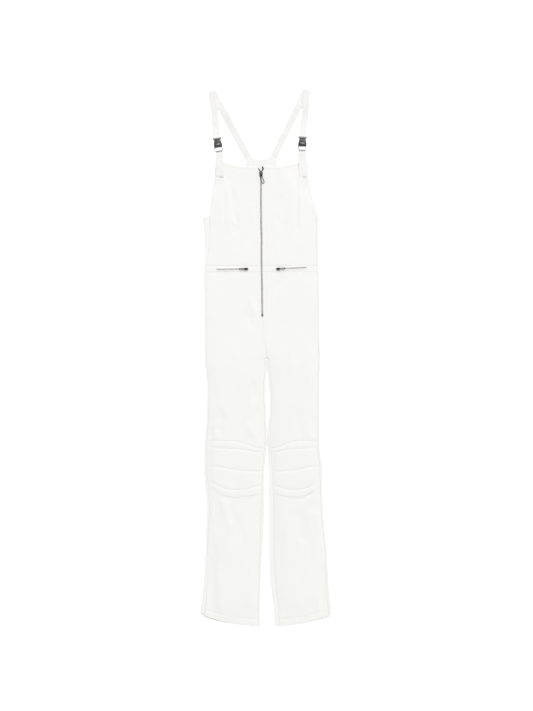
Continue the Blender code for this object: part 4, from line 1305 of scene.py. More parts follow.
@dataclass
class Tab:
    """Doubled band from the buckle's lower bar down into its slit in the bib."""

    plan: StrapPlan
    bib: Panel

    def build(self, material: bpy.types.Material) -> bpy.types.Object:
        """Make the tab: two layers that part at its sides, diving under the bib at its end.

        Args:
            material: The webbing's finish.
        Returns:
            The piece's object.
        """
        plan = self.plan
        middle = np.array(plan.buckle)
        start = middle + plan.axis * (BAIL_BOTTOM + 2.4)
        leave = middle + plan.axis * (BAIL_BOTTOM - 6)
        end = np.array([plan.tab_end, TAB_END + 0.1])
        t = np.concatenate([
            [0, 0.004, 0.012], np.linspace(0.03, 0.25, 8), np.linspace(0.25, 0.975, 42)[1:],
            [0.985, 0.992, 0.997, 1.0],
        ])[:, None]
        place = np.where(
            t <= 0.25, start + (leave - start) * t / 0.25, leave + (end - leave) * (t - 0.25) / 0.75
        )
        width = 19.6 + (TAB_WIDTH - 19.6) * ease((t - 0.1) / 0.12)
        right = plan.right * (1 - ease(t)) + np.array([1.0, 0.0]) * ease(t)
        right = right / np.linalg.norm(right, axis=1, keepdims=True)
        j = np.array([0.0, 0.3, 0.6, 0.8, 0.9, 0.955, 0.985, 1.0])
        j = np.concatenate([-j[::-1], j[1:]])
        plan_points = place[:, None] + right[:, None] * (j / 2)[:, None] * width[:, None]
        on_bib = LIE.inside(plan.side, plan_points[..., 0], plan_points[..., 1], fine=False) + WALL + 0.1
        x, y = plan_points[..., 0], plan_points[..., 1]
        on_bib = np.maximum(on_bib, self.bib.face(x, y) - self.bib.pushed(x, y) + 0.1)
        dive = 0.7 * ease((t - 0.955) / 0.045)
        floor = TAB_LEVEL + (on_bib - TAB_LEVEL) * ease((t - 0.2) / 0.12) - dive * 0.15
        edge = np.clip((np.abs(j) - 0.8) / 0.2, 0, 1)
        swell = np.sqrt(1 - 0.9 * edge**2)
        sag = 0.35 * drift(plan_points[..., 0], plan_points[..., 1], 2.2, 80.0, 60.0) * ease((t - 0.3) / 0.2) * ease((1 - t) / 0.15)
        top = floor + TAB_WALL * (0.25 + 0.75 * swell) + np.maximum(sag, 0) - dive
        low = floor + np.zeros_like(swell)
        upper = np.concatenate([plan_points, top[..., None]], -1)
        lower = np.concatenate([plan_points, np.minimum(low, top - 0.4)[..., None]], -1)
        gone = np.linalg.norm(np.gradient(place, axis=0), axis=1).cumsum()[:, None]
        uv = np.stack(np.broadcast_arrays(j * TAB_WIDTH / 2 * MM, gone * MM), -1)
        return make_wall(f"strap_tab_{plan.side.value}", upper, lower, material, uv=uv)


@dataclass
class Buckle:
    """Quick-release buckle: ring and neck of the tongue, housing, bare plate and wire bail."""

    plan: StrapPlan

    def skin(
        self, part: str, rings: Array, material: bpy.types.Material, closed: bool = False
    ) -> bpy.types.Object:
        """Make one part from rings in the buckle's own frame.

        Args:
            part: The part's name.
            rings: (N, M, 3) points.
            material: Its finish.
            closed: Whether the rings close on themselves.
        Returns:
            The piece's object.
        """
        faces = loft_faces(rings.shape[0], rings.shape[1], closed)
        points = self.plan.place(rings.reshape(-1, 3))
        thing = make_piece(f"buckle_{part}_{self.plan.side.value}", points, faces, material)
        shape = thing.modifiers.new("crisp", "EDGE_SPLIT")
        shape.split_angle = math.radians(40)
        return thing

    def lofted(self, stations: Sequence[tuple[float, ...]], corner_steps: int = 4) -> Array:
        """Rings along Y from (y, half width, low, high, corner) rows, smoothed between them.

        Args:
            stations: The rows, in order of y.
            corner_steps: Steps round each corner.
        Returns:
            (N, M, 3) points.
        """
        rows = np.array(stations)
        t = np.linspace(0, len(rows) - 1, (len(rows) - 1) * 4 + 1)
        y, half, low, high, corner = (np.interp(t, np.arange(len(rows)), column) for column in rows.T)
        ring = rounded_ring(half, (high - low) / 2, corner, corner_steps)
        middle = ((high + low) / 2)[:, None]
        return np.stack([ring[..., 0], np.broadcast_to(y[:, None], ring.shape[:2]), ring[..., 1] + middle], -1)

    def tongue_ring(self) -> Array:
        """The tongue's frame round the strap's bar: a round bar carried round a rounded rectangle."""
        path = rounded_ring(np.array([11.5]), np.array([2.55]), np.array([1.6]), 6)[0]
        path = np.column_stack([path[:, 0], path[:, 1] + 19.6, np.full(len(path), BAR_HEIGHT)])
        section = rounded_ring(np.array([0.95]), np.array([1.0]), np.array([0.6]), 3)[0]
        return swept(path, section, True, np.array([0.0, 0.0, 1.0]))

    def bail(self) -> Array:
        """The wire bail: a round wire down both sides and across below, with bent corners."""
        corner = 2.4
        angle = np.radians(np.linspace(0, 90, 9))
        left = np.concatenate([
            [[-BAIL_HALF, BAIL_TOP], [-BAIL_HALF, -6.0]],
            np.stack([-BAIL_HALF + corner - corner * np.cos(angle),
                      BAIL_BOTTOM + corner - corner * np.sin(angle)], -1),
        ])
        plan = np.concatenate([left, [[0.0, BAIL_BOTTOM]], left[::-1] * [-1, 1]])
        path = np.column_stack([plan, np.full(len(plan), BAIL_LEVEL)])
        turn = np.radians(np.arange(12) * 30.0)
        section = BAIL_RADIUS * np.stack([np.cos(turn), np.sin(turn)], -1)
        return swept(path, section, False, np.array([0.0, 0.0, 1.0]))

    def build(self, metal: bpy.types.Material, bare: bpy.types.Material) -> list[bpy.types.Object]:
        """Make the parts of the buckle.

        Args:
            metal: Finish of all but the plate.
            bare: Finish of the plate.
        Returns:
            The pieces: tongue frame, tongue neck, housing, its rim, plate and bail.
        """
        neck = self.lofted([
            (10.5, 8.0, 2.0, 4.6, 0.6), (13.2, 7.7, 2.0, 4.6, 0.6), (14.2, 8.0, 2.1, 4.5, 0.6),
            (15.6, 9.6, 2.3, 4.2, 0.5), (17.0, 10.8, 2.4, 4.1, 0.5), (18.6, 11.6, 2.5, 3.9, 0.5),
        ])
        housing = self.lofted([
            (-8.0, 9.8, 1.0, 4.6, 0.8), (-7.7, 10.3, 0.5, 5.4, 1.2), (-6.6, 10.6, 0.1, 6.0, 1.4),
            (-4.0, 10.8, 0.0, 6.5, 1.6), (-1.9, 10.9, 0.0, 6.6, 1.6), (-1.7, 10.7, 0.0, 6.2, 1.5),
            (3.0, 10.7, 0.0, 6.2, 1.5), (3.2, 10.9, 0.0, 6.6, 1.6), (7.4, 10.9, 0.0, 6.5, 1.6),
            (9.4, 10.8, 0.0, 6.3, 1.6), (11.2, 10.5, 0.3, 6.1, 1.6), (12.5, 9.6, 0.8, 5.7, 1.4),
            (13.0, 8.4, 1.4, 5.0, 1.0),
        ], 5)
        plate = self.lofted([
            (-1.6, 6.2, 6.3, 6.7, 0.15), (-1.3, 6.7, 6.2, 7.1, 0.4), (0.6, 6.8, 6.2, 7.4, 0.5),
            (2.5, 6.7, 6.2, 7.1, 0.4), (2.8, 6.2, 6.3, 6.7, 0.15),
        ])
        window = self.lofted([
            (-5.6, 4.6, 6.0, 6.55, 0.2), (-5.2, 5.0, 6.0, 6.6, 0.25), (-3.4, 5.0, 5.9, 6.5, 0.25),
            (-3.0, 4.6, 5.8, 6.3, 0.2),
        ])
        return [
            self.skin("tongue", self.tongue_ring(), metal, closed=True),
            self.skin("neck", neck, metal),
            self.skin("body", housing, metal),
            self.skin("ridge", window, metal),
            self.skin("plate", plate, bare),
            self.skin("bail", self.bail(), metal),
        ]


# ---------------------------------------------------------------- zips


@dataclass
class Chain:
    """One half of a zip's chain: metal teeth at an even pitch along its line."""

    pitch: float = 2.4
    reach: float = 2.3
    wide: float = 1.45
    tall: float = CHAIN_WALL

    def teeth(self, places: Array, along: Array, toward: Array, low: Array) -> tuple[Array, list[list[int]]]:
        """A block with a bevelled top for each tooth, its root on the tape and its head past the middle.

        Args:
            places: (K, 2) middles of the teeth in plan.
            along: (K, 2) directions of the chain.
            toward: (K, 2) directions to the other half.
            low: (K,) undersides.
        Returns:
            Points and faces of all the teeth.
        """
        across = np.array([-0.5, -0.42, 0.30, 0.44, 0.5])
        wide = np.array([0.30, 0.5, 0.5, 0.42, 0.24]) * self.wide
        high = np.array([0.30, 0.5, 0.5, 0.46, 0.28]) * self.tall
        angle = np.radians([45, 135, 225, 315])
        bevel = np.array([[1, 0.6], [0.6, 1], [-0.6, 1], [-1, 0.6], [-1, -1], [1, -1]])
        points = (
            places[:, None, None] + toward[:, None, None] * (across * self.reach)[:, None, None]
            + along[:, None, None] * (wide[:, None] * bevel[:, 0])[..., None]
        )
        z = low[:, None, None] + self.tall / 2 + high[:, None] * bevel[:, 1]
        rings = np.concatenate([points, z[..., None]], -1)
        template = loft_faces(5, 6, closed=False)
        faces = [[k + 30 * tooth for k in face] for tooth in range(len(places)) for face in template]
        return rings.reshape(-1, 3), faces


@dataclass
class Pull:
    """A zip's slider and the pull on its pin."""

    name: str
    body: str
    centre: Place
    pivot: Place
    top: float
    turn: float
    lean: float
    scale: float = 1.0
    tilt: float = PULL_TILT
    skew: float = 0.0

    @property
    def pin_height(self) -> float:
        """Height of the pin's middle."""
        return self.top + SEAM + 1.6 + 1.7

    def placed(self, points: Array, at: Place, z: float, turn: float, tilt: float = 0.0) -> Array:
        """Points turned about X by tilt, then about Z by turn, and moved.

        Args:
            points: (..., 3) points.
            at: Where their origin goes in plan.
            z: Its height.
            turn: Degrees about Z.
            tilt: Degrees about X.
        Returns:
            The points in the garment's frame.
        """
        spin = np.array(Matrix.Rotation(math.radians(turn), 3, "Z"))
        lean = np.array(Matrix.Rotation(math.radians(tilt), 3, "X"))
        return points @ (spin @ lean).T + np.array([*at, z])

    def slider(self) -> Array:
        """The slider's body: a shield in plan, wider at its top, with a domed upper face."""
        s = self.scale
        y = np.array([-7.4, -7.1, -6.2, -4.5, -2.0, 1.0, 3.6, 5.6, 6.9, 7.4]) * s
        half = np.array([2.6, 3.5, 4.1, 4.4, 4.5, 4.9, 5.2, 5.0, 4.2, 3.0]) * s
        high = np.array([0.9, 1.25, 1.5, 1.65, 1.8, 1.8, 1.65, 1.45, 1.2, 0.9])
        ring = rounded_ring(half, high / 2, np.minimum(high / 2, 0.55), 3)
        ring = np.stack([ring[..., 0], np.broadcast_to(y[:, None], ring.shape[:2]),
                         ring[..., 1] + (high / 2)[:, None]], -1)
        return self.placed(ring, self.centre, self.top + SEAM, self.turn)

    def lugs(self) -> list[Array]:
        """Two cheeks on the slider that carry the pin, each a rounded block."""
        cheeks = []
        for sign in (-1, 1):
            x = sign * 2.9 + np.array([-0.7, -0.55, 0.55, 0.7])
            ring = rounded_ring(np.array([1.5, 1.8, 1.8, 1.5]), np.array([1.5, 1.75, 1.75, 1.5]),
                                np.array([1.0, 1.2, 1.2, 1.0]), 3)
            block = np.stack([np.broadcast_to(x[:, None], ring.shape[:2]), ring[..., 0], ring[..., 1] - 0.75], -1)
            cheeks.append(self.placed(block, self.pivot, self.pin_height, self.turn + self.lean))
        return cheeks

    def pin(self) -> Array:
        """The pin between the cheeks: a round bar."""
        angle = np.radians(np.arange(10) * 36.0)
        x = np.array([-3.0, 3.0])
        ring = 0.6 * np.stack([np.cos(angle), np.sin(angle)], -1)
        bar = np.stack([np.broadcast_to(x[:, None], (2, 10)), np.broadcast_to(ring[:, 0], (2, 10)),
                        np.broadcast_to(ring[:, 1], (2, 10))], -1)
        return self.placed(bar, self.pivot, self.pin_height, self.turn + self.lean)

    def hinged(self, points: Array) -> Array:
        """Points of the pull's own frame, put in the garment's."""
        return self.placed(points, self.pivot, self.pin_height, self.turn + self.lean, self.tilt)

    def loop(self) -> Array:
        """The pull's ring: a flattened wire round a long opening, wider toward its free end."""
        s = self.scale
        t = np.linspace(0, 2 * math.pi, 49)[:-1]
        y = -14.9 * s + 11.2 * s * np.cos(t)
        half = (3.5 + 0.5 * np.cos(t + math.pi)) * s
        x = half * np.sign(np.sin(t)) * np.abs(np.sin(t)) ** 0.55 - self.skew * (y + 4.0)
        path = np.column_stack([x, y, np.zeros(48)])
        section = rounded_ring(np.array([0.75 * s]), np.array([0.62]), np.array([0.35]), 3)[0]
        return self.hinged(swept(path, section, True, np.array([0.0, 0.0, 1.0])))

    def eye(self) -> Array:
        """The pull's eye round the pin: a short tube."""
        angle = np.linspace(0, 2 * math.pi, 21)[:-1]
        section = np.array([[-1.7, 0.95], [1.7, 0.95], [1.8, 1.05], [1.8, 1.4], [1.7, 1.5], [-1.7, 1.5],
                            [-1.8, 1.4], [-1.8, 1.05]])
        rings = np.stack([
            np.broadcast_to(section[:, 0], (20, 8)),
            np.cos(angle)[:, None] * section[:, 1], np.sin(angle)[:, None] * section[:, 1],
        ], -1)
        return self.hinged(rings)

    def neck(self) -> Array:
        """Bar from the eye to the ring."""
        y = np.array([-1.2, -2.0, -3.2, -4.2]) * 1.0
        y[-1] = -4.4 * self.scale if self.scale < 1 else -4.4
        ring = rounded_ring(np.array([1.6, 1.6, 1.5, 1.3]), np.full(4, 0.6), np.full(4, 0.3), 2)
        bar = np.stack([ring[..., 0], np.broadcast_to(y[:, None], ring.shape[:2]), ring[..., 1]], -1)
        return self.hinged(bar)

    def build(self, metal: bpy.types.Material) -> list[bpy.types.Object]:
        """Make the slider on the garment, and the pull on its own body.

        Args:
            metal: Their finish.
        Returns:
            Two pieces: slider and pull.
        """
        made = []
        fixed = [(self.slider(), False), (self.pin(), False), *((lug, False) for lug in self.lugs())]
        swung = [(self.loop(), True), (self.eye(), True), (self.neck(), False)]
        for part, body, skins in (("slider", GARMENT, fixed), ("pull", self.body, swung)):
            points, faces, count = [], [], 0
            for rings, closed in skins:
                points.append(rings.reshape(-1, 3))
                faces += [[k + count for k in face] for face in loft_faces(*rings.shape[:2], closed)]
                count += len(points[-1])
            thing = make_piece(f"{self.name}_{part}", np.concatenate(points), faces, metal, body=body)
            crisp = thing.modifiers.new("crisp", "EDGE_SPLIT")
            crisp.split_angle = math.radians(40)
            made.append(thing)
        return made


@dataclass
class FrontZip:
    """The centre-front zip: tapes, two rows of teeth, bottom stop, slider and pull."""

    top: float = 570.5
    fork: float = 553.0
    ends: tuple[float, float] = (564.5, 571.0)
    tape_out: float = 9.0

    def build(self, metal: bpy.types.Material, dark: bpy.types.Material, tape: bpy.types.Material) -> list[bpy.types.Object]:
        """Make the zip.

        Args:
            metal: Finish of the teeth.
            dark: Finish of slider, pull and stop.
            tape: Finish of the tapes.
        Returns:
            The pieces.
        """
        made = []
        chain = Chain()
        start = ZIP_BOTTOM + SEAM + STOP_LENGTH
        for number, side in enumerate(Side):
            first = start + 1.2 + 1.2 * number
            end = self.ends[number]
            for kind, part, low, high, finish in (
                (chain, "teeth", first, self.fork, metal),
                (Chain(pitch=2.0, reach=3.3, wide=1.9, tall=2.3), "end", self.fork + 1, end, dark),
            ):
                y = np.arange(low, high, kind.pitch)
                x = LIE.zip_half(side, y)
                along = np.stack([np.gradient(x, y), np.ones_like(y)], -1)
                along = along / np.linalg.norm(along, axis=1, keepdims=True)
                toward = np.stack([along[:, 1], -along[:, 0]], -1) * -side.out
                middle = np.stack([x - side.out * 0.3, y], -1)
                points, faces = kind.teeth(middle, along, toward, LIE.chain_level(y))
                thing = make_piece(f"front_zip_{part}_{side.value}", points, faces, finish, smooth=False)
                if part == "teeth":
                    made.append(thing)
            y = np.linspace(ZIP_BOTTOM - 2, self.top - 1.0, 120)[:, None]
            across = np.linspace(0, 1, 7)
            inner = LIE.zip_half(side, y) - side.out * CHAIN_HALF * 0.45
            x = inner + side.out * self.tape_out * across
            z = np.broadcast_to(LIE.chain_level(y), x.shape)
            upper = np.stack(np.broadcast_arrays(x, y, z - 0.12), -1)
            lower = np.stack(np.broadcast_arrays(x, y, z - 0.72), -1)
            made.append(make_wall(f"front_zip_tape_{side.value}", upper, lower, tape))
        y = ZIP_BOTTOM + np.array([0.5, 0.8, 1.6, 3.5, 4.2, 4.6])
        half = np.array([1.8, 2.3, 2.6, 2.6, 2.3, 1.8])
        ring = rounded_ring(half, np.full(6, 1.05), np.full(6, 0.4), 3)
        x0 = float(LIE.centre(ZIP_BOTTOM + 2.5))
        low = float(LIE.chain_level(ZIP_BOTTOM)) + 1.2
        stop = np.stack([ring[..., 0] + x0, np.broadcast_to(y[:, None], ring.shape[:2]), ring[..., 1] + low], -1)
        made.append(make_piece("front_zip_stop", stop.reshape(-1, 3), loft_faces(*stop.shape[:2], False), dark))
        x = float(LIE.centre(SLIDER_Y)) + 0.3
        top = float(LIE.chain_level(SLIDER_Y)) + CHAIN_WALL
        pull = Pull("front_zip", "front_pull", (x, SLIDER_Y), (x, SLIDER_Y - 2.0), top, 0.0, PULL_LEAN, skew=0.2)
        made += pull.build(dark)
        return made


@dataclass
class PocketZip:
    """A welted pocket zip in the waist band: teeth, two lips, slider and pull."""

    side: Side
    inner: Place
    outer: Place
    band: Panel
    chain_width: float = 5.0
    chain_wall: float = 1.6

    def ridge(self, s: Array) -> Array:
        """Underside of the chain at share s of its length, as it lies over the band's crown."""
        inner, outer = np.array(self.inner), np.array(self.outer)
        along = unit(outer - inner)
        aside = np.array([-along[1], along[0]])
        place = inner + (outer - inner) * np.asarray(s)[:, None]
        levels = [
            LIE.inside(self.side, (place + aside * d)[:, 0], (place + aside * d)[:, 1], fine=False)
            for d in (-self.chain_width / 2, 0.0, self.chain_width / 2)
        ]
        return np.max(levels, axis=0) + WALL + SEAM + 0.05

    def build(
        self, metal: bpy.types.Material, dark: bpy.types.Material, cloth: bpy.types.Material, sewing: Sewing
    ) -> list[bpy.types.Object]:
        """Make the pocket's zip.

        Args:
            metal: Finish of the teeth.
            dark: Finish of slider and pull.
            cloth: Finish of the lips.
            sewing: Where the stitches round it go.
        Returns:
            The pieces.
        """
        name = self.side.value
        inner, outer = np.array(self.inner), np.array(self.outer)
        length = float(np.linalg.norm(outer - inner))
        along = unit(outer - inner)
        aside = np.array([-along[1], along[0]]) * np.sign(along[0])
        made = []
        points, faces, count = [], [], 0
        for sign in (-1, 1):
            chain = Chain(pitch=1.9, reach=1.2, wide=1.15, tall=self.chain_wall)
            s = np.arange(1.0 + 0.475 * (1 + sign), length - 0.6, chain.pitch)
            middle = inner + along * s[:, None] + aside * sign * 0.5
            ones = np.ones((len(s), 1))
            teeth, tooth_faces = chain.teeth(
                middle, along * ones, -sign * aside * ones, self.ridge(s / length),
            )
            points.append(teeth)
            faces += [[k + count for k in face] for face in tooth_faces]
            count += len(teeth)
        made.append(make_piece(f"pocket_zip_teeth_{name}", np.concatenate(points), faces, metal, smooth=False))
        s = np.linspace(-0.02, 1.02, 60)
        level_at = self.ridge(np.clip(s, 0, 1))
        middle = inner + (outer - inner) * s[:, None]
        for sign, part in ((-1, "low"), (1, "high")):
            across = np.linspace(0, 1, 11)
            fade = np.sqrt(np.clip(1 - (np.abs(s - 0.5) / 0.52) ** 24, 0.02, 1))[:, None]
            d = sign * (1.15 + 4.6 * across)
            plan = middle[:, None] + aside * d[:, None]
            bulge = (1.3 + 0.7 * sign) * np.sin(math.pi * np.clip(across * 0.86 + 0.14, 0, 1)) ** 0.7 * fade
            base = self.band.inside(plan[..., 0], plan[..., 1]) + WALL * 0.9
            rise = np.where(across < 0.02, 0.8 + 0.5 * sign, bulge)
            upper_z = np.maximum(level_at[:, None] - 0.5 + rise, base + 0.2)
            upper_z = base + 0.25 + (upper_z - base - 0.25) * ease((1 - across) / 0.45)
            upper = np.concatenate([plan, upper_z[..., None]], -1)
            lower = np.concatenate([plan, np.minimum(base - 0.2, upper_z - 0.3)[..., None]], -1)
            made.append(make_wall(f"pocket_lip_{part}_{name}", upper, lower, cloth))
            line = inner + along * np.linspace(-2.5, length + 2.5, 90)[:, None] + aside * sign * 6.6
            sewing.row(self.band.on(line[:, 0], line[:, 1]))
        for end in (-3.0, length + 3.0):
            line = inner + along * end + aside * np.linspace(-6.4, 6.4, 9)[:, None]
            sewing.row(self.band.on(line[:, 0], line[:, 1]))
        spot = inner + along * 5.5
        top = self.pull_top(length)
        turn = math.degrees(math.atan2(along[1], along[0])) + 90
        pull = Pull(
            f"pocket_zip_{name}", f"pocket_{name}_pull", tuple(spot), tuple(spot + along * 1.2), top,
            turn, 0.0, 0.72,
        )
        made += pull.build(dark)
        return made

    def pull_top(self, length: float) -> float:
        """Upper face of the chain under the slider and its pull."""
        rows = int(14 * 32 / length) + 1
        return float(np.max(self.ridge(np.arange(rows) / 14))) + self.chain_wall


# ---------------------------------------------------------------- finishes

Colour = tuple[float, float, float]


class Nodes:
    """Builds one node tree, a step at a time."""

    def __init__(self, tree: bpy.types.NodeTree) -> None:
        """Start on a tree.

        Args:
            tree: The tree to build in.
        """
        self.tree = tree

    def add(self, kind: str, **values: object) -> bpy.types.Node:
        """A node with its settings, and with its inputs by name where a setting isn't an attribute.

        Args:
            kind: The node's type.
            **values: Attributes, or inputs with _ for a space.
        Returns:
            The node.
        """
        node = self.tree.nodes.new(kind)
        for name, value in values.items():
            if hasattr(node, name):
                setattr(node, name, value)
            else:
                node.inputs[name.replace("_", " ")].default_value = value
        return node

    def link(self, start: bpy.types.NodeSocket, end: bpy.types.NodeSocket) -> None:
        """Join an output to an input."""
        self.tree.links.new(start, end)

    def math(self, operation: str, *terms: object) -> bpy.types.NodeSocket:
        """A Math node on numbers or outputs.

        Args:
            operation: The node's operation.
            *terms: Its inputs.
        Returns:
            Its output.
        """
        node = self.add("ShaderNodeMath", operation=operation)
        for place, term in enumerate(terms):
            if isinstance(term, bpy.types.NodeSocket):
                self.link(term, node.inputs[place])
            else:
                node.inputs[place].default_value = float(term)
        return node.outputs[0]


def start_group(name: str, inputs: Sequence[tuple[str, str, float]], outputs: Sequence[str]) -> tuple[Nodes, bpy.types.Node, bpy.types.Node]:
    """A new shader node group with named sockets.

    Args:
        name: The group's name.
        inputs: (name, socket type, default) rows.
        outputs: Names of its number outputs.
    Returns:
        Its builder, its input node and its output node.
    """
    tree = bpy.data.node_groups.new(name, "ShaderNodeTree")
    for label, kind, value in inputs:
        socket = tree.interface.new_socket(label, in_out="INPUT", socket_type=kind)
        if kind == "NodeSocketFloat":
            socket.default_value = value
    for label in outputs:
        tree.interface.new_socket(label, in_out="OUTPUT", socket_type="NodeSocketFloat")
    nodes = Nodes(tree)
    return nodes, nodes.add("NodeGroupInput"), nodes.add("NodeGroupOutput")


def weave_group() -> bpy.types.NodeTree:
    """Plain weave: warp and weft ribs, each shown where it passes over the other.

    Height = (1 + sin(kx) sin(ky)) / 2, with the lines shaken a little by noise.

    Returns:
        The group: Vector and Threads in, Height out.
    """
    nodes, entry, out = start_group(
        "plain_weave", (("Vector", "NodeSocketVector", 0.0), ("Threads", "NodeSocketFloat", 1800.0)), ("Height",)
    )
    shake = nodes.add("ShaderNodeTexNoise", Scale=90.0, Detail=2.0)
    nodes.link(entry.outputs["Vector"], shake.inputs["Vector"])
    parts = nodes.add("ShaderNodeSeparateXYZ")
    nodes.link(entry.outputs["Vector"], parts.inputs[0])
    k = nodes.math("MULTIPLY", entry.outputs["Threads"], math.pi)
    wobble = nodes.math("MULTIPLY", shake.outputs["Fac"], 2.4)
    warp = nodes.math("SINE", nodes.math("ADD", nodes.math("MULTIPLY", parts.outputs[0], k), wobble))
    weft = nodes.math("SINE", nodes.math("ADD", nodes.math("MULTIPLY", parts.outputs[1], k), wobble))
    both = nodes.math("MULTIPLY", warp, weft)
    nodes.link(nodes.math("MULTIPLY_ADD", both, 0.5, 0.5), out.inputs["Height"])
    return nodes.tree


def mottle_group() -> bpy.types.NodeTree:
    """Cloudy unevenness at two sizes: the sum of a broad noise and a fine one.

    Returns:
        The group: Vector, Broad and Fine scales in, Value out, about 0 to 1.
    """
    nodes, entry, out = start_group(
        "mottle",
        (("Vector", "NodeSocketVector", 0.0), ("Broad", "NodeSocketFloat", 9.0), ("Fine", "NodeSocketFloat", 140.0)),
        ("Value",),
    )
    sizes = []
    for name, detail in (("Broad", 3.0), ("Fine", 4.0)):
        noise = nodes.add("ShaderNodeTexNoise", Detail=detail, Roughness=0.55)
        nodes.link(entry.outputs["Vector"], noise.inputs["Vector"])
        nodes.link(entry.outputs[name], noise.inputs["Scale"])
        sizes.append(noise.outputs["Fac"])
    mixed = nodes.math("MULTIPLY_ADD", sizes[1], 0.35, nodes.math("MULTIPLY", sizes[0], 0.65))
    spread = nodes.add("ShaderNodeMapRange", From_Min=0.35, From_Max=0.65)
    nodes.link(mixed, spread.inputs["Value"])
    nodes.link(spread.outputs["Result"], out.inputs["Value"])
    return nodes.tree


def webbing_group() -> bpy.types.NodeTree:
    """Herringbone band: slanted ribs whose slant turns at each cord along the band.

    Height = sin of (length + |saw of width| x 1.1) at the rib pitch, over a slow rib at each cord.

    Returns:
        The group: Vector (across, along, in metres) in, Height out.
    """
    nodes, entry, out = start_group("herringbone", (("Vector", "NodeSocketVector", 0.0),), ("Height",))
    parts = nodes.add("ShaderNodeSeparateXYZ")
    nodes.link(entry.outputs["Vector"], parts.inputs[0])
    saw = nodes.math("PINGPONG", nodes.math("ADD", parts.outputs[0], 0.1), 0.0035)
    slant = nodes.math("ADD", parts.outputs[1], nodes.math("MULTIPLY", saw, 1.1))
    rib = nodes.math("SINE", nodes.math("MULTIPLY", slant, 2 * math.pi / 0.0016))
    cord = nodes.math("SINE", nodes.math("MULTIPLY", saw, math.pi / 0.0035))
    height = nodes.math("MULTIPLY_ADD", rib, 0.3, nodes.math("MULTIPLY_ADD", cord, 0.35, 0.35))
    nodes.link(height, out.inputs["Height"])
    return nodes.tree


GROUPS: dict[str, bpy.types.NodeTree] = {}


def group_node(nodes: Nodes, build: Callable[[], bpy.types.NodeTree]) -> bpy.types.Node:
    """A node of a shared group, which is built at its first use.

    Args:
        nodes: Builder of the tree that the node goes in.
        build: The function that builds the group.
    Returns:
        The group node.
    """
    if build.__name__ not in GROUPS:
        GROUPS[build.__name__] = build()
    return nodes.add("ShaderNodeGroup", node_tree=GROUPS[build.__name__])


def started(name: str) -> tuple[bpy.types.Material, Nodes, bpy.types.Node]:
    """A new material with its shader and output.

    Args:
        name: The material's name.
    Returns:
        The material, its builder and its Principled shader.
    """
    material = bpy.data.materials.new(name)
    material.use_nodes = True
    nodes = Nodes(material.node_tree)
    return material, nodes, material.node_tree.nodes["Principled BSDF"]


def blended(nodes: Nodes, amount: bpy.types.NodeSocket, first: Colour, second: Colour) -> bpy.types.NodeSocket:
    """Two colours mixed by a value.

    Args:
        nodes: Builder of the tree.
        amount: Where it is 0 the first colour shows, where 1 the second.
        first: One colour.
        second: The other.
    Returns:
        The colour output.
    """
    mix = nodes.add("ShaderNodeMix", data_type="RGBA")
    for end in mix.inputs:
        if end.name in "AB" and end.type == "RGBA":
            end.default_value = (*(first if end.name == "A" else second), 1.0)
    nodes.link(amount, mix.inputs["Factor"])
    return next(end for end in mix.outputs if end.type == "RGBA")


def bumped(nodes: Nodes, shader: bpy.types.Node, height: bpy.types.NodeSocket, strength: float, depth: float) -> None:
    """Feed a height to the shader's normal.

    Args:
        nodes: Builder of the tree.
        shader: The shader.
        height: The height output.
        strength: How strongly it shows.
        depth: What a height of one stands for, in metres.
    """
    bump = nodes.add("ShaderNodeBump", Strength=strength, Distance=depth)
    nodes.link(height, bump.inputs["Height"])
    nodes.link(bump.outputs["Normal"], shader.inputs["Normal"])


@dataclass(frozen=True)
class ClothFinish:
    """Matt woven cloth with a faint sheen, which can carry painted shade that darkens it toward the hems."""

    name: str
    colour: Colour
    shade: Colour
    threads: float = 1500.0
    roughness: float = 0.82
    relief: float = 0.00018
    sheen: float = 0.12
    painted_falloff: float = 0.0

    def build(self) -> bpy.types.Material:
        """Make the material: weave and faint puckers as relief, clouds in its colour, and painted shade that darkens it
        toward the hems.
        """
        material, nodes, shader = started(self.name)
        place = nodes.add("ShaderNodeTexCoord")
        weave = group_node(nodes, weave_group)
        weave.inputs["Threads"].default_value = self.threads
        clouds = group_node(nodes, mottle_group)
        clouds.inputs["Broad"].default_value = 7.0
        clouds.inputs["Fine"].default_value = 160.0
        for node in (weave, clouds):
            nodes.link(place.outputs["Object"], node.inputs["Vector"])
        parts = nodes.add("ShaderNodeSeparateXYZ")
        nodes.link(place.outputs["Object"], parts.inputs[0])
        # Painted shade: from 0.42 m down to -0.36 m in the object's height, the colour moves toward its darker tone,
        # standing in for the light falling off toward the hems.
        down = nodes.add(
            "ShaderNodeMapRange", interpolation_type="SMOOTHSTEP", From_Min=0.42, From_Max=-0.36, To_Max=self.painted_falloff
        )
        nodes.link(parts.outputs[1], down.inputs["Value"])
        share = nodes.math("MULTIPLY_ADD", clouds.outputs["Value"], 1 - self.painted_falloff, down.outputs["Result"])
        nodes.link(blended(nodes, share, self.colour, self.shade), shader.inputs["Base Color"])
        dull = nodes.add("ShaderNodeMapRange", To_Min=self.roughness - 0.05, To_Max=self.roughness + 0.07)
        nodes.link(clouds.outputs["Value"], dull.inputs["Value"])
        nodes.link(dull.outputs["Result"], shader.inputs["Roughness"])
        soft = nodes.add("ShaderNodeTexNoise", Scale=55.0, Detail=3.0)
        nodes.link(place.outputs["Object"], soft.inputs["Vector"])
        height = nodes.math("MULTIPLY_ADD", soft.outputs["Fac"], 1.6, weave.outputs["Height"])
        bumped(nodes, shader, height, 0.55, self.relief)
        shader.inputs["Sheen Weight"].default_value = self.sheen
        shader.inputs["Sheen Roughness"].default_value = 0.5
        shader.inputs["Specular IOR Level"].default_value = 0.25
        return material


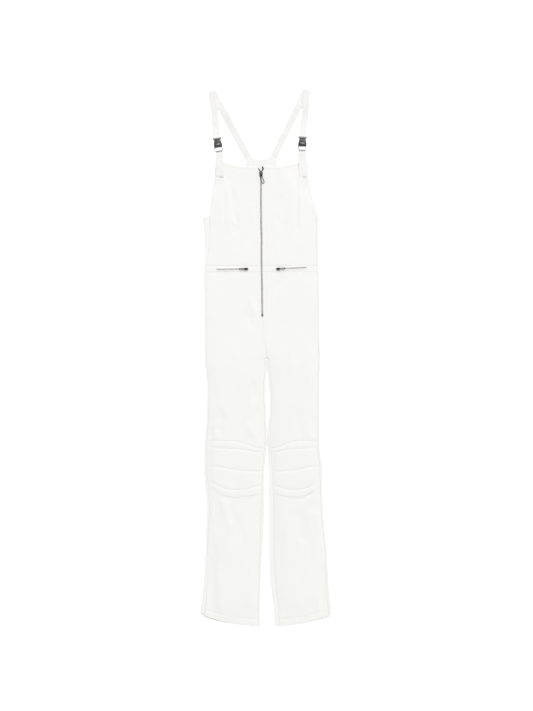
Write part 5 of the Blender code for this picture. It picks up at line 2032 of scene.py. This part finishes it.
@dataclass(frozen=True)
class WebbingFinish:
    """Flat woven band, on the piece's own map."""

    name: str
    colour: Colour
    shade: Colour

    def build(self) -> bpy.types.Material:
        """Make the material: herringbone relief, with painted shade darkening the colour between its ribs."""
        material, nodes, shader = started(self.name)
        cut = nodes.add("ShaderNodeUVMap", uv_map="cut")
        ribs = group_node(nodes, webbing_group)
        nodes.link(cut.outputs["UV"], ribs.inputs["Vector"])
        place = nodes.add("ShaderNodeTexCoord")
        clouds = group_node(nodes, mottle_group)
        clouds.inputs["Broad"].default_value = 14.0
        clouds.inputs["Fine"].default_value = 320.0
        nodes.link(place.outputs["Object"], clouds.inputs["Vector"])
        # Painted shade: the colour darkens where the ribs' relief is low, over a cloudy random tone.
        deep = nodes.math("MULTIPLY_ADD", ribs.outputs["Height"], -0.7, nodes.math("ADD", clouds.outputs["Value"], 0.2))
        deep = nodes.math("MINIMUM", nodes.math("MAXIMUM", deep, 0.0), 1.0)
        nodes.link(blended(nodes, deep, self.colour, self.shade), shader.inputs["Base Color"])
        shader.inputs["Roughness"].default_value = 0.72
        shader.inputs["Sheen Weight"].default_value = 0.1
        bumped(nodes, shader, ribs.outputs["Height"], 0.6, 0.0003)
        return material


@dataclass(frozen=True)
class ThreadFinish:
    """Twisted sewing thread."""

    name: str
    colour: Colour
    shade: Colour

    def build(self) -> bpy.types.Material:
        """Make the material: slanted twist lines as relief, with painted shade darkening the colour in their grooves.
        """
        material, nodes, shader = started(self.name)
        place = nodes.add("ShaderNodeTexCoord")
        turn = nodes.add("ShaderNodeMapping")
        turn.inputs["Rotation"].default_value = (0.4, 0.3, math.radians(38))
        twist = nodes.add("ShaderNodeTexWave", Scale=900.0, Distortion=0.6)
        nodes.link(place.outputs["Object"], turn.inputs["Vector"])
        nodes.link(turn.outputs["Vector"], twist.inputs["Vector"])
        # Painted shade: the colour is darker where the twist's relief is low.
        nodes.link(blended(nodes, twist.outputs["Fac"], self.shade, self.colour), shader.inputs["Base Color"])
        shader.inputs["Roughness"].default_value = 0.6
        bumped(nodes, shader, twist.outputs["Fac"], 0.4, 0.0001)
        return material


@dataclass(frozen=True)
class MetalFinish:
    """Die-cast metal, plated and a little handled."""

    name: str
    colour: Colour
    worn: Colour
    roughness: float
    metallic: float = 1.0

    def build(self) -> bpy.types.Material:
        """Make the material: cloudy plating, with fine brushed scratches as relief."""
        material, nodes, shader = started(self.name)
        place = nodes.add("ShaderNodeTexCoord")
        clouds = group_node(nodes, mottle_group)
        clouds.inputs["Broad"].default_value = 60.0
        clouds.inputs["Fine"].default_value = 900.0
        stretch = nodes.add("ShaderNodeMapping")
        stretch.inputs["Scale"].default_value = (1.0, 9.0, 1.0)
        scratches = nodes.add("ShaderNodeTexNoise", Scale=420.0, Detail=4.0)
        nodes.link(place.outputs["Object"], clouds.inputs["Vector"])
        nodes.link(place.outputs["Object"], stretch.inputs["Vector"])
        nodes.link(stretch.outputs["Vector"], scratches.inputs["Vector"])
        nodes.link(blended(nodes, clouds.outputs["Value"], self.colour, self.worn), shader.inputs["Base Color"])
        rough = nodes.add("ShaderNodeMapRange", To_Min=self.roughness - 0.08, To_Max=self.roughness + 0.12)
        nodes.link(scratches.outputs["Fac"], rough.inputs["Value"])
        nodes.link(rough.outputs["Result"], shader.inputs["Roughness"])
        shader.inputs["Metallic"].default_value = self.metallic
        bumped(nodes, shader, scratches.outputs["Fac"], 0.25, 0.00012)
        return material


@dataclass(frozen=True)
class FloorFinish:
    """Plain pale paper floor."""

    name: str
    colour: Colour
    glow: float = 0.4

    def build(self) -> bpy.types.Material:
        """Make the material: one pale colour with the faintest grain, a little lit from below."""
        material, nodes, shader = started(self.name)
        place = nodes.add("ShaderNodeTexCoord")
        clouds = group_node(nodes, mottle_group)
        nodes.link(place.outputs["Object"], clouds.inputs["Vector"])
        other = tuple(v * 0.995 for v in self.colour)
        nodes.link(blended(nodes, clouds.outputs["Value"], self.colour, other), shader.inputs["Base Color"])
        shader.inputs["Roughness"].default_value = 0.95
        shader.inputs["Specular IOR Level"].default_value = 0.0
        shader.inputs["Emission Color"].default_value = (1.0, 1.0, 1.0, 1.0)
        shader.inputs["Emission Strength"].default_value = self.glow
        return material


@dataclass
class Palette:
    """Every finish of the overalls, made once."""

    cloth: bpy.types.Material = field(
        # The shell cloth carries the painted shade that darkens it toward the hems.
        default_factory=lambda: ClothFinish("shell_cloth", (0.802, 0.799, 0.785), (0.773, 0.770, 0.745), painted_falloff=0.72).build()
    )
    # Painted shade: this dark cloth, laid in the mouth of each tab's slit, stands in for the shadow inside the slit.
    painted_slit_shade: bpy.types.Material = field(
        default_factory=lambda: ClothFinish("slit_painted_shade", (0.62, 0.60, 0.52), (0.55, 0.53, 0.45)).build()
    )
    webbing: bpy.types.Material = field(
        default_factory=lambda: WebbingFinish("band_webbing", (0.80, 0.795, 0.785), (0.72, 0.715, 0.70)).build()
    )
    thread: bpy.types.Material = field(
        default_factory=lambda: ThreadFinish("thread", (0.80, 0.795, 0.775), (0.70, 0.695, 0.675)).build()
    )
    tape: bpy.types.Material = field(
        default_factory=lambda: ClothFinish("zip_tape", (0.78, 0.775, 0.76), (0.75, 0.745, 0.73), 2400.0).build()
    )
    teeth: bpy.types.Material = field(
        default_factory=lambda: MetalFinish("zip_teeth_metal", (0.765, 0.755, 0.745), (0.705, 0.695, 0.685), 0.34).build()
    )
    dark: bpy.types.Material = field(
        default_factory=lambda: MetalFinish("gunmetal", (0.085, 0.085, 0.082), (0.055, 0.055, 0.053), 0.4).build()
    )
    plate: bpy.types.Material = field(
        default_factory=lambda: MetalFinish("bare_plate_metal", (0.20, 0.20, 0.195), (0.165, 0.165, 0.16), 0.38).build()
    )
    bail: bpy.types.Material = field(
        default_factory=lambda: MetalFinish("bail_wire", (0.29, 0.29, 0.28), (0.24, 0.24, 0.235), 0.32).build()
    )


# ---------------------------------------------------------------- the overalls


def surface_half(thing: bpy.types.Object) -> float:
    """Half the surface of a piece's mesh, in square metres: the cloth's flat area."""
    areas = np.empty(len(thing.data.polygons))
    thing.data.polygons.foreach_get("area", areas)
    return float(areas.sum() / 2)


def declare_cut(
    thing: bpy.types.Object, width: float, length: float,
    trims: Sequence[bpy.types.Object] = (),
) -> None:
    """Say that a piece is a sheet, and the size of its cut.

    Args:
        thing: The piece.
        width: Its greatest width, in millimetres.
        length: Its length.
        trims: Small cloth pieces sewn on it.
    """
    area = min(surface_half(thing), width * length * MM * MM)
    list(trims)


@dataclass
class Front:
    """The front of one side: bib, waist band, thigh, quilted knee and shin."""

    side: Side
    palette: Palette
    placket: float = 12.5
    binding: float = 6.0
    facing: float = 9.5
    hem_fold: float = 21.0
    made: dict[str, bpy.types.Object] = field(default_factory=dict)
    trims: dict[str, list[bpy.types.Object]] = field(default_factory=dict)

    def __post_init__(self) -> None:
        """Lay out the panels."""
        name = self.side.value
        plan = STRAPS[0] if self.side is Side.LEFT else STRAPS[1]
        self.tab_middle = plan.tab_end
        knee = LIE.knee
        self.bib = Panel(
            f"front_bib_{name}", self.side,
            (
                Guide(level(WAIST + GAP / 2), Line.SEAM), Guide(level(UNDERARM), Line.PLAIN),
                Guide(level(TAB_END - 15.9), Line.PLAIN), Guide(level(TAB_END), Line.STEP),
                Guide(moved(LIE.bib_top, -self.facing), Line.STITCH), Guide(LIE.bib_top, Line.SEAM),
            ),
            outer_marks=(self.binding,), outer_from=UNDERARM, centre_marks=(self.placket,),
            pushed=self.tab_lip,
        )
        self.band = Panel(
            f"waist_band_{name}", self.side,
            (Guide(level(BAND_LOW + GAP / 2), Line.SEAM), Guide(level(WAIST - GAP / 2), Line.SEAM)),
            centre_marks=(self.placket,), pitch=2.6,
        )
        self.thigh = Panel(
            f"front_thigh_{name}", self.side,
            (
                Guide(moved(knee["top"], GAP / 2), Line.SEAM), Guide(level(-130.0), Line.PLAIN),
                Guide(level(CROTCH - 1), Line.PLAIN), Guide(level(CROTCH + 7), Line.PLAIN),
                Guide(level(ZIP_BOTTOM - 6), Line.PLAIN), Guide(level(ZIP_BOTTOM), Line.PLAIN),
                Guide(level(BAND_LOW - GAP / 2), Line.SEAM),
            ),
            centre_marks=(self.placket,), centre_from=ZIP_BOTTOM - 32,
        )
        self.knee = Panel(
            f"knee_panel_{name}", self.side,
            (
                Guide(moved(knee["bottom"], GAP / 2), Line.SEAM), Guide(knee["fourth"], Line.STITCH),
                Guide(knee["middle"], Line.STITCH), Guide(knee["second"], Line.STITCH),
                Guide(moved(knee["top"], -GAP / 2), Line.SEAM),
            ),
            puff=PAD_HEIGHT, outer_marks=(16.0,), inner_marks=(8.0,), pitch=3.0,
        )
        self.shin = Panel(
            f"front_shin_{name}", self.side,
            (
                Guide(lambda u: LIE.hem_edge(u, HEM_LEVEL), Line.SEAM),
                Guide(lambda u: LIE.hem_edge(u, HEM_LEVEL) + self.hem_fold, Line.STITCH),
                Guide(level(HEM_LEVEL + HEM_REACH), Line.PLAIN),
                Guide(moved(knee["bottom"], -GAP / 2), Line.SEAM),
            ),
        )
        self.panels = (self.bib, self.band, self.thigh, self.knee, self.shin)
        self.trims = {self.bib.name: [], self.band.name: []}

    def tab_lip(self, x: Array, y: Array) -> Array:
        """How far the bib is pushed up by the end of the strap's tab, tucked in through its slit.

        A step at the slit, that dies out 38 mm below it and 4 mm beside it.

        Args:
            x: Places along X.
            y: Places along Y.
        Returns:
            Height to add.
        """
        beside = TAB_WIDTH / 2 + 4 - np.abs(x - self.tab_middle)
        return 1.1 * ease((TAB_END + 0.3 - y) / 0.6) * ease((y - TAB_END + 38) / 37) * ease(beside / 4)

    def build(self) -> None:
        """Make the five panels and the dark sheet of painted shade in the tab's slit."""
        for panel in self.panels:
            thing = panel.build(self.palette.cloth)
            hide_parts(panel.name)
            self.made[panel.name] = thing
            LOG.info("%s: %d faces", panel.name, len(thing.data.polygons))
        # The slit's dark sheet is painted shade, not a real lining.
        self.trims[self.bib.name].append(self.build_painted_slit_shade())

    def declare(self) -> None:
        """Work out each panel's cut, all but the knee's, and hand it to declare_cut with the small cloth pieces sewn on
        it; nothing is kept.
        """
        for panel in self.panels:
            thing = self.made[panel.name]
            low, high = (float(np.mean(panel.guides[k].height(np.linspace(0, 1, 9)))) for k in (0, -1))
            y = np.linspace(low, high, 15)
            width = float(np.max(np.abs(LIE.inner(self.side, y) - LIE.outer(self.side, y)))) + 1
            if panel is self.knee:
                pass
            else:
                more = 18 if panel in (self.bib, self.shin) else 1
                declare_cut(thing, width, high - low + more, self.trims.get(panel.name, ()))

    def build_painted_slit_shade(self) -> bpy.types.Object:
        """Painted shade in the mouth of the slit: a dark lens over the tab's diving end, at the slit's right half where
        it gapes open, standing in for the shadow inside.

        Returns:
            The piece's object.
        """
        t = np.linspace(0, 1, 25)[:, None]
        v = np.linspace(-1, 1, 5)
        x = self.tab_middle - 1.5 + (13.5 if self.side is Side.LEFT else 10.5) * t
        y = TAB_END - 0.2 + 1.9 * np.sqrt(np.clip(1 - (2 * t - 1) ** 2, 0.01, 1)) * v
        x, y = np.broadcast_arrays(x, y)
        z = self.bib.face(x, y) - self.tab_lip(x, y) + 1.6
        upper = np.stack([x, y, z], -1)
        lower = np.stack([x, y, z - 0.3], -1)
        painted_slit_shade = make_wall(f"slit_painted_shade_{self.side.value}", upper, lower, self.palette.painted_slit_shade)
        return painted_slit_shade

    def across(self, panel: Panel, guide: Callable[[Array], Array], start: float = 0.02, end: float = 0.98) -> Array:
        """Places on a panel along a guide.

        Args:
            panel: The panel.
            guide: The guide's height over the share of the width.
            start: Share it starts at.
            end: Share it ends at.
        Returns:
            (N, 3) places.
        """
        u = np.linspace(start, end, 140)
        y = guide(u)
        outer, inner = LIE.outer(self.side, y), LIE.inner(self.side, y)
        return panel.on(outer + (inner - outer) * u, y)

    def up(self, panel: Panel, x: Callable[[Array], Array], low: float, high: float) -> Array:
        """Places on a panel up a line.

        Args:
            panel: The panel.
            x: X of the line over height.
            low: Height it starts at.
            high: Height it ends at.
        Returns:
            (N, 3) places.
        """
        y = np.linspace(low, high, max(8, int((high - low) / 3)))
        return panel.on(x(y), y)

    def sew(self, sewing: Sewing) -> None:
        """Lay every row of stitches that the front shows.

        Args:
            sewing: Where the rows go.
        """
        side, out, knee = self.side, self.side.out, LIE.knee
        top = float(LIE.bib_top(0.9))
        sewing.row(self.across(self.bib, moved(LIE.bib_top, -self.facing), 0.01, 0.985))
        sewing.row(self.up(self.bib, lambda y: LIE.outer(side, y) - out * self.binding, 424, 578))
        sewing.row(self.up(self.bib, lambda y: LIE.centre(y) + out * self.placket, WAIST + 1, top - 1))
        sewing.row(self.up(self.band, lambda y: LIE.centre(y) + out * self.placket, BAND_LOW + 1, WAIST - 1))
        sewing.row(self.up(self.thigh, lambda y: LIE.centre(y) + out * self.placket, 106, BAND_LOW - 1))
        sewing.row(self.up(self.thigh, lambda y: LIE.centre(y) + out * 3.0, 4, 86))
        for y in (105.0, 90.5):
            x0 = float(LIE.centre(y))
            x = np.linspace(x0 + out * 1.0, x0 + out * self.placket, 9)
            sewing.row(self.thigh.on(x, np.full(9, y)))
        sewing.row(self.across(self.bib, level(WAIST + 2.7), 0.01, 0.93))
        sewing.row(self.across(self.thigh, level(BAND_LOW - 2.7), 0.01, 0.93))
        sewing.row(self.across(self.thigh, moved(knee["top"], 2.7)))
        sewing.row(self.across(self.shin, moved(knee["bottom"], -2.7)))
        for name in ("second", "middle", "fourth"):
            sewing.row(self.across(self.knee, knee[name], 0.0, 1.0))
        for edge, offset in ((LIE.outer, -16.0), (LIE.inner, 8.0)):
            for low, high in ((-383.0, -345.0), (-339.0, -286.0)):
                sewing.row(self.up(self.knee, lambda y: edge(side, y) + out * offset, low, high))
        sewing.row(self.across(self.shin, lambda u: LIE.hem_edge(u, HEM_LEVEL) + self.hem_fold))
        for panel, low, high in (
            (self.thigh, -248.0, CROTCH - 6), (self.shin, -766.0, -418.0),
        ):
            sewing.row(self.up(panel, lambda y: LIE.inner(side, y) + out * 2.6, low, high))
        for y in (531.6, 524.1):
            x = self.tab_middle + np.linspace(-12.0, 12.0, 15)
            sewing.row(self.bib.on(x, np.full(15, y)))


class Overalls:
    """The whole garment, piece by piece in the order a maker sews it."""

    def __init__(self) -> None:
        """Prepare the finishes and both fronts."""
        self.palette = Palette()
        self.fronts = {side: Front(side, self.palette) for side in Side}

    def build_backs(self) -> None:
        """Back legs and bodice."""
        for side in Side:
            leg = BackLeg(f"back_leg_{side.value}", side=side).build(self.palette.cloth)
            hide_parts(f"back_leg_{side.value}")
            declare_cut(leg, 222.0, 1082.0)
            LOG.info("back leg %s: %d faces", side.value, len(leg.data.polygons))
        bodice = BackBodice("back_bodice").build(self.palette.cloth)
        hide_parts("back_bodice")
        declare_cut(bodice, 404.0, 330.0)

    def build_fronts(self) -> None:
        """Both fronts and their stitches."""
        for side, front in self.fronts.items():
            front.build()
            sewing = Sewing(f"front_stitches_{side.value}")
            front.sew(sewing)
            sewing.build(self.palette.thread)
            LOG.info("front %s sewn", side.value)

    def build_straps(self) -> None:
        """Straps, tabs and buckles of both sides."""
        for plan in STRAPS:
            name = plan.side.value
            strap = Strap(plan)
            band = strap.build(self.palette.webbing)
            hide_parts(f"strap_{name}")
            length = float(np.linalg.norm(np.diff(strap.middle, axis=0), axis=1).sum())
            LOG.info("strap %s: %.0f mm long", name, length)
            tab = Tab(plan, self.fronts[plan.side].bib).build(self.palette.webbing)
            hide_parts(f"strap_tab_{name}")
            sewing = Sewing(f"strap_stitches_{name}")
            strap.stitches(sewing)
            sewing.build(self.palette.thread)
            ring, neck, body, ridge, plate, bail = Buckle(plan).build(self.palette.dark, self.palette.plate)
            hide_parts(f"buckle_tongue_{name}")
            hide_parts(f"buckle_body_{name}")
            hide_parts(f"buckle_plate_{name}")
            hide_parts(f"buckle_bail_{name}")
            bail.data.materials[0] = self.palette.bail
            LOG.info("buckle %s built", name)

    def build_zips(self) -> None:
        """Front zip and both pocket zips."""
        palette = self.palette
        parts = FrontZip().build(palette.teeth, palette.dark, palette.tape)
        for part, nodes in zip(parts, (
            ("front_zip_chain_left",), (), ("front_zip_chain_right",), (), ("front_zip_stop",),
            ("front_zip_slider",), ("front_zip_pull",),
        )):
            if nodes:
                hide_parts(*nodes)
        for front, tape in zip(self.fronts.values(), parts[1:4:2]):
            front.trims[front.bib.name].append(tape)
        plans = (
            (Side.LEFT, (-54.0, 264.2), (-147.0, 262.6)), (Side.RIGHT, (31.0, 264.0), (121.0, 268.6)),
        )
        for side, inner, outer in plans:
            name = side.value
            sewing = Sewing(f"pocket_stitches_{name}")
            pocket = PocketZip(side, inner, outer, self.fronts[side].band)
            teeth, low, high, slider, pull = pocket.build(palette.teeth, palette.dark, palette.cloth, sewing)
            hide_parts(f"pocket_zip_chain_{name}")
            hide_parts(f"pocket_zip_{name}_slider")
            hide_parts(f"pocket_zip_{name}_pull")
            for lip in (low, high):
                self.fronts[side].trims[f"waist_band_{name}"].append(lip)
            sewing.build(palette.thread)
            self.fronts[side].declare()
            LOG.info("pocket zip %s built", name)


# ---------------------------------------------------------------- studio


@dataclass(frozen=True)
class Lamp:
    """A soft, distant light."""

    name: str
    place: tuple[float, float, float]
    spread: float
    strength: float

    def build(self) -> None:
        """Make the light and aim it at the middle of the garment."""
        light = bpy.data.lights.new(self.name, "SUN")
        light.angle = math.radians(self.spread)
        light.energy = self.strength
        thing = bpy.data.objects.new(self.name, light)
        thing.location = self.place
        thing.rotation_euler = (-Vector(self.place)).to_track_quat("-Z", "Y").to_euler()
        bpy.context.scene.collection.objects.link(thing)


@dataclass
class Studio:
    """Pale floor, soft light and the camera straight above."""

    camera_place: tuple[float, float, float] = (0.0015, 0.0045, 5.925)
    lens: float = 100.0
    sky: float = 0.62
    lamps: tuple[Lamp, ...] = (Lamp("key", (0.6, 2.1, 2.8), 32.0, 2.25),)

    def build(self) -> None:
        """Make the floor, the world, the lights and the camera."""
        grid = np.array([-60.0, -4.0, 0.0, 4.0, 60.0])
        x, y = np.meshgrid(grid, grid)
        points = np.column_stack([x.ravel(), y.ravel(), np.full(25, -0.0004)])
        n = np.arange(25).reshape(5, 5)
        quads = np.stack([n[:-1, :-1], n[:-1, 1:], n[1:, 1:], n[1:, :-1]], -1).reshape(-1, 4)
        mesh = bpy.data.meshes.new("floor")
        mesh.from_pydata(points.tolist(), [], quads.tolist())
        mesh.materials.append(FloorFinish("floor_paper", (0.97, 0.97, 0.97)).build())
        floor = bpy.data.objects.new("floor", mesh)
        bpy.context.scene.collection.objects.link(floor)
        floor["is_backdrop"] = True
        world = bpy.data.worlds.new("studio")
        world.use_nodes = True
        back = world.node_tree.nodes["Background"]
        back.inputs["Color"].default_value = (1.0, 1.0, 1.0, 1.0)
        back.inputs["Strength"].default_value = self.sky
        bpy.context.scene.world = world
        for lamp in self.lamps:
            lamp.build()
        lens = bpy.data.cameras.new("camera")
        lens.lens = self.lens
        lens.sensor_width = 36.0
        camera = bpy.data.objects.new("camera", lens)
        camera.location = self.camera_place
        bpy.context.scene.collection.objects.link(camera)
        bpy.context.scene.camera = camera
        bpy.context.scene.view_settings.view_transform = "Standard"
        bpy.context.scene.view_settings.look = "None"


def main() -> None:
    """Build the studio and the garment."""
    logging.basicConfig(level=logging.INFO, format="%(message)s")
    overalls = Overalls()
    overalls.build_backs()
    overalls.build_fronts()
    overalls.build_straps()
    overalls.build_zips()
    Studio().build()
    boxes = {"cad": CAD_BOX, "visual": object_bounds()}
    plain = {name: [[float(v) for v in corner] for corner in box] for name, box in boxes.items()}


if __name__ == "__main__":
    main()
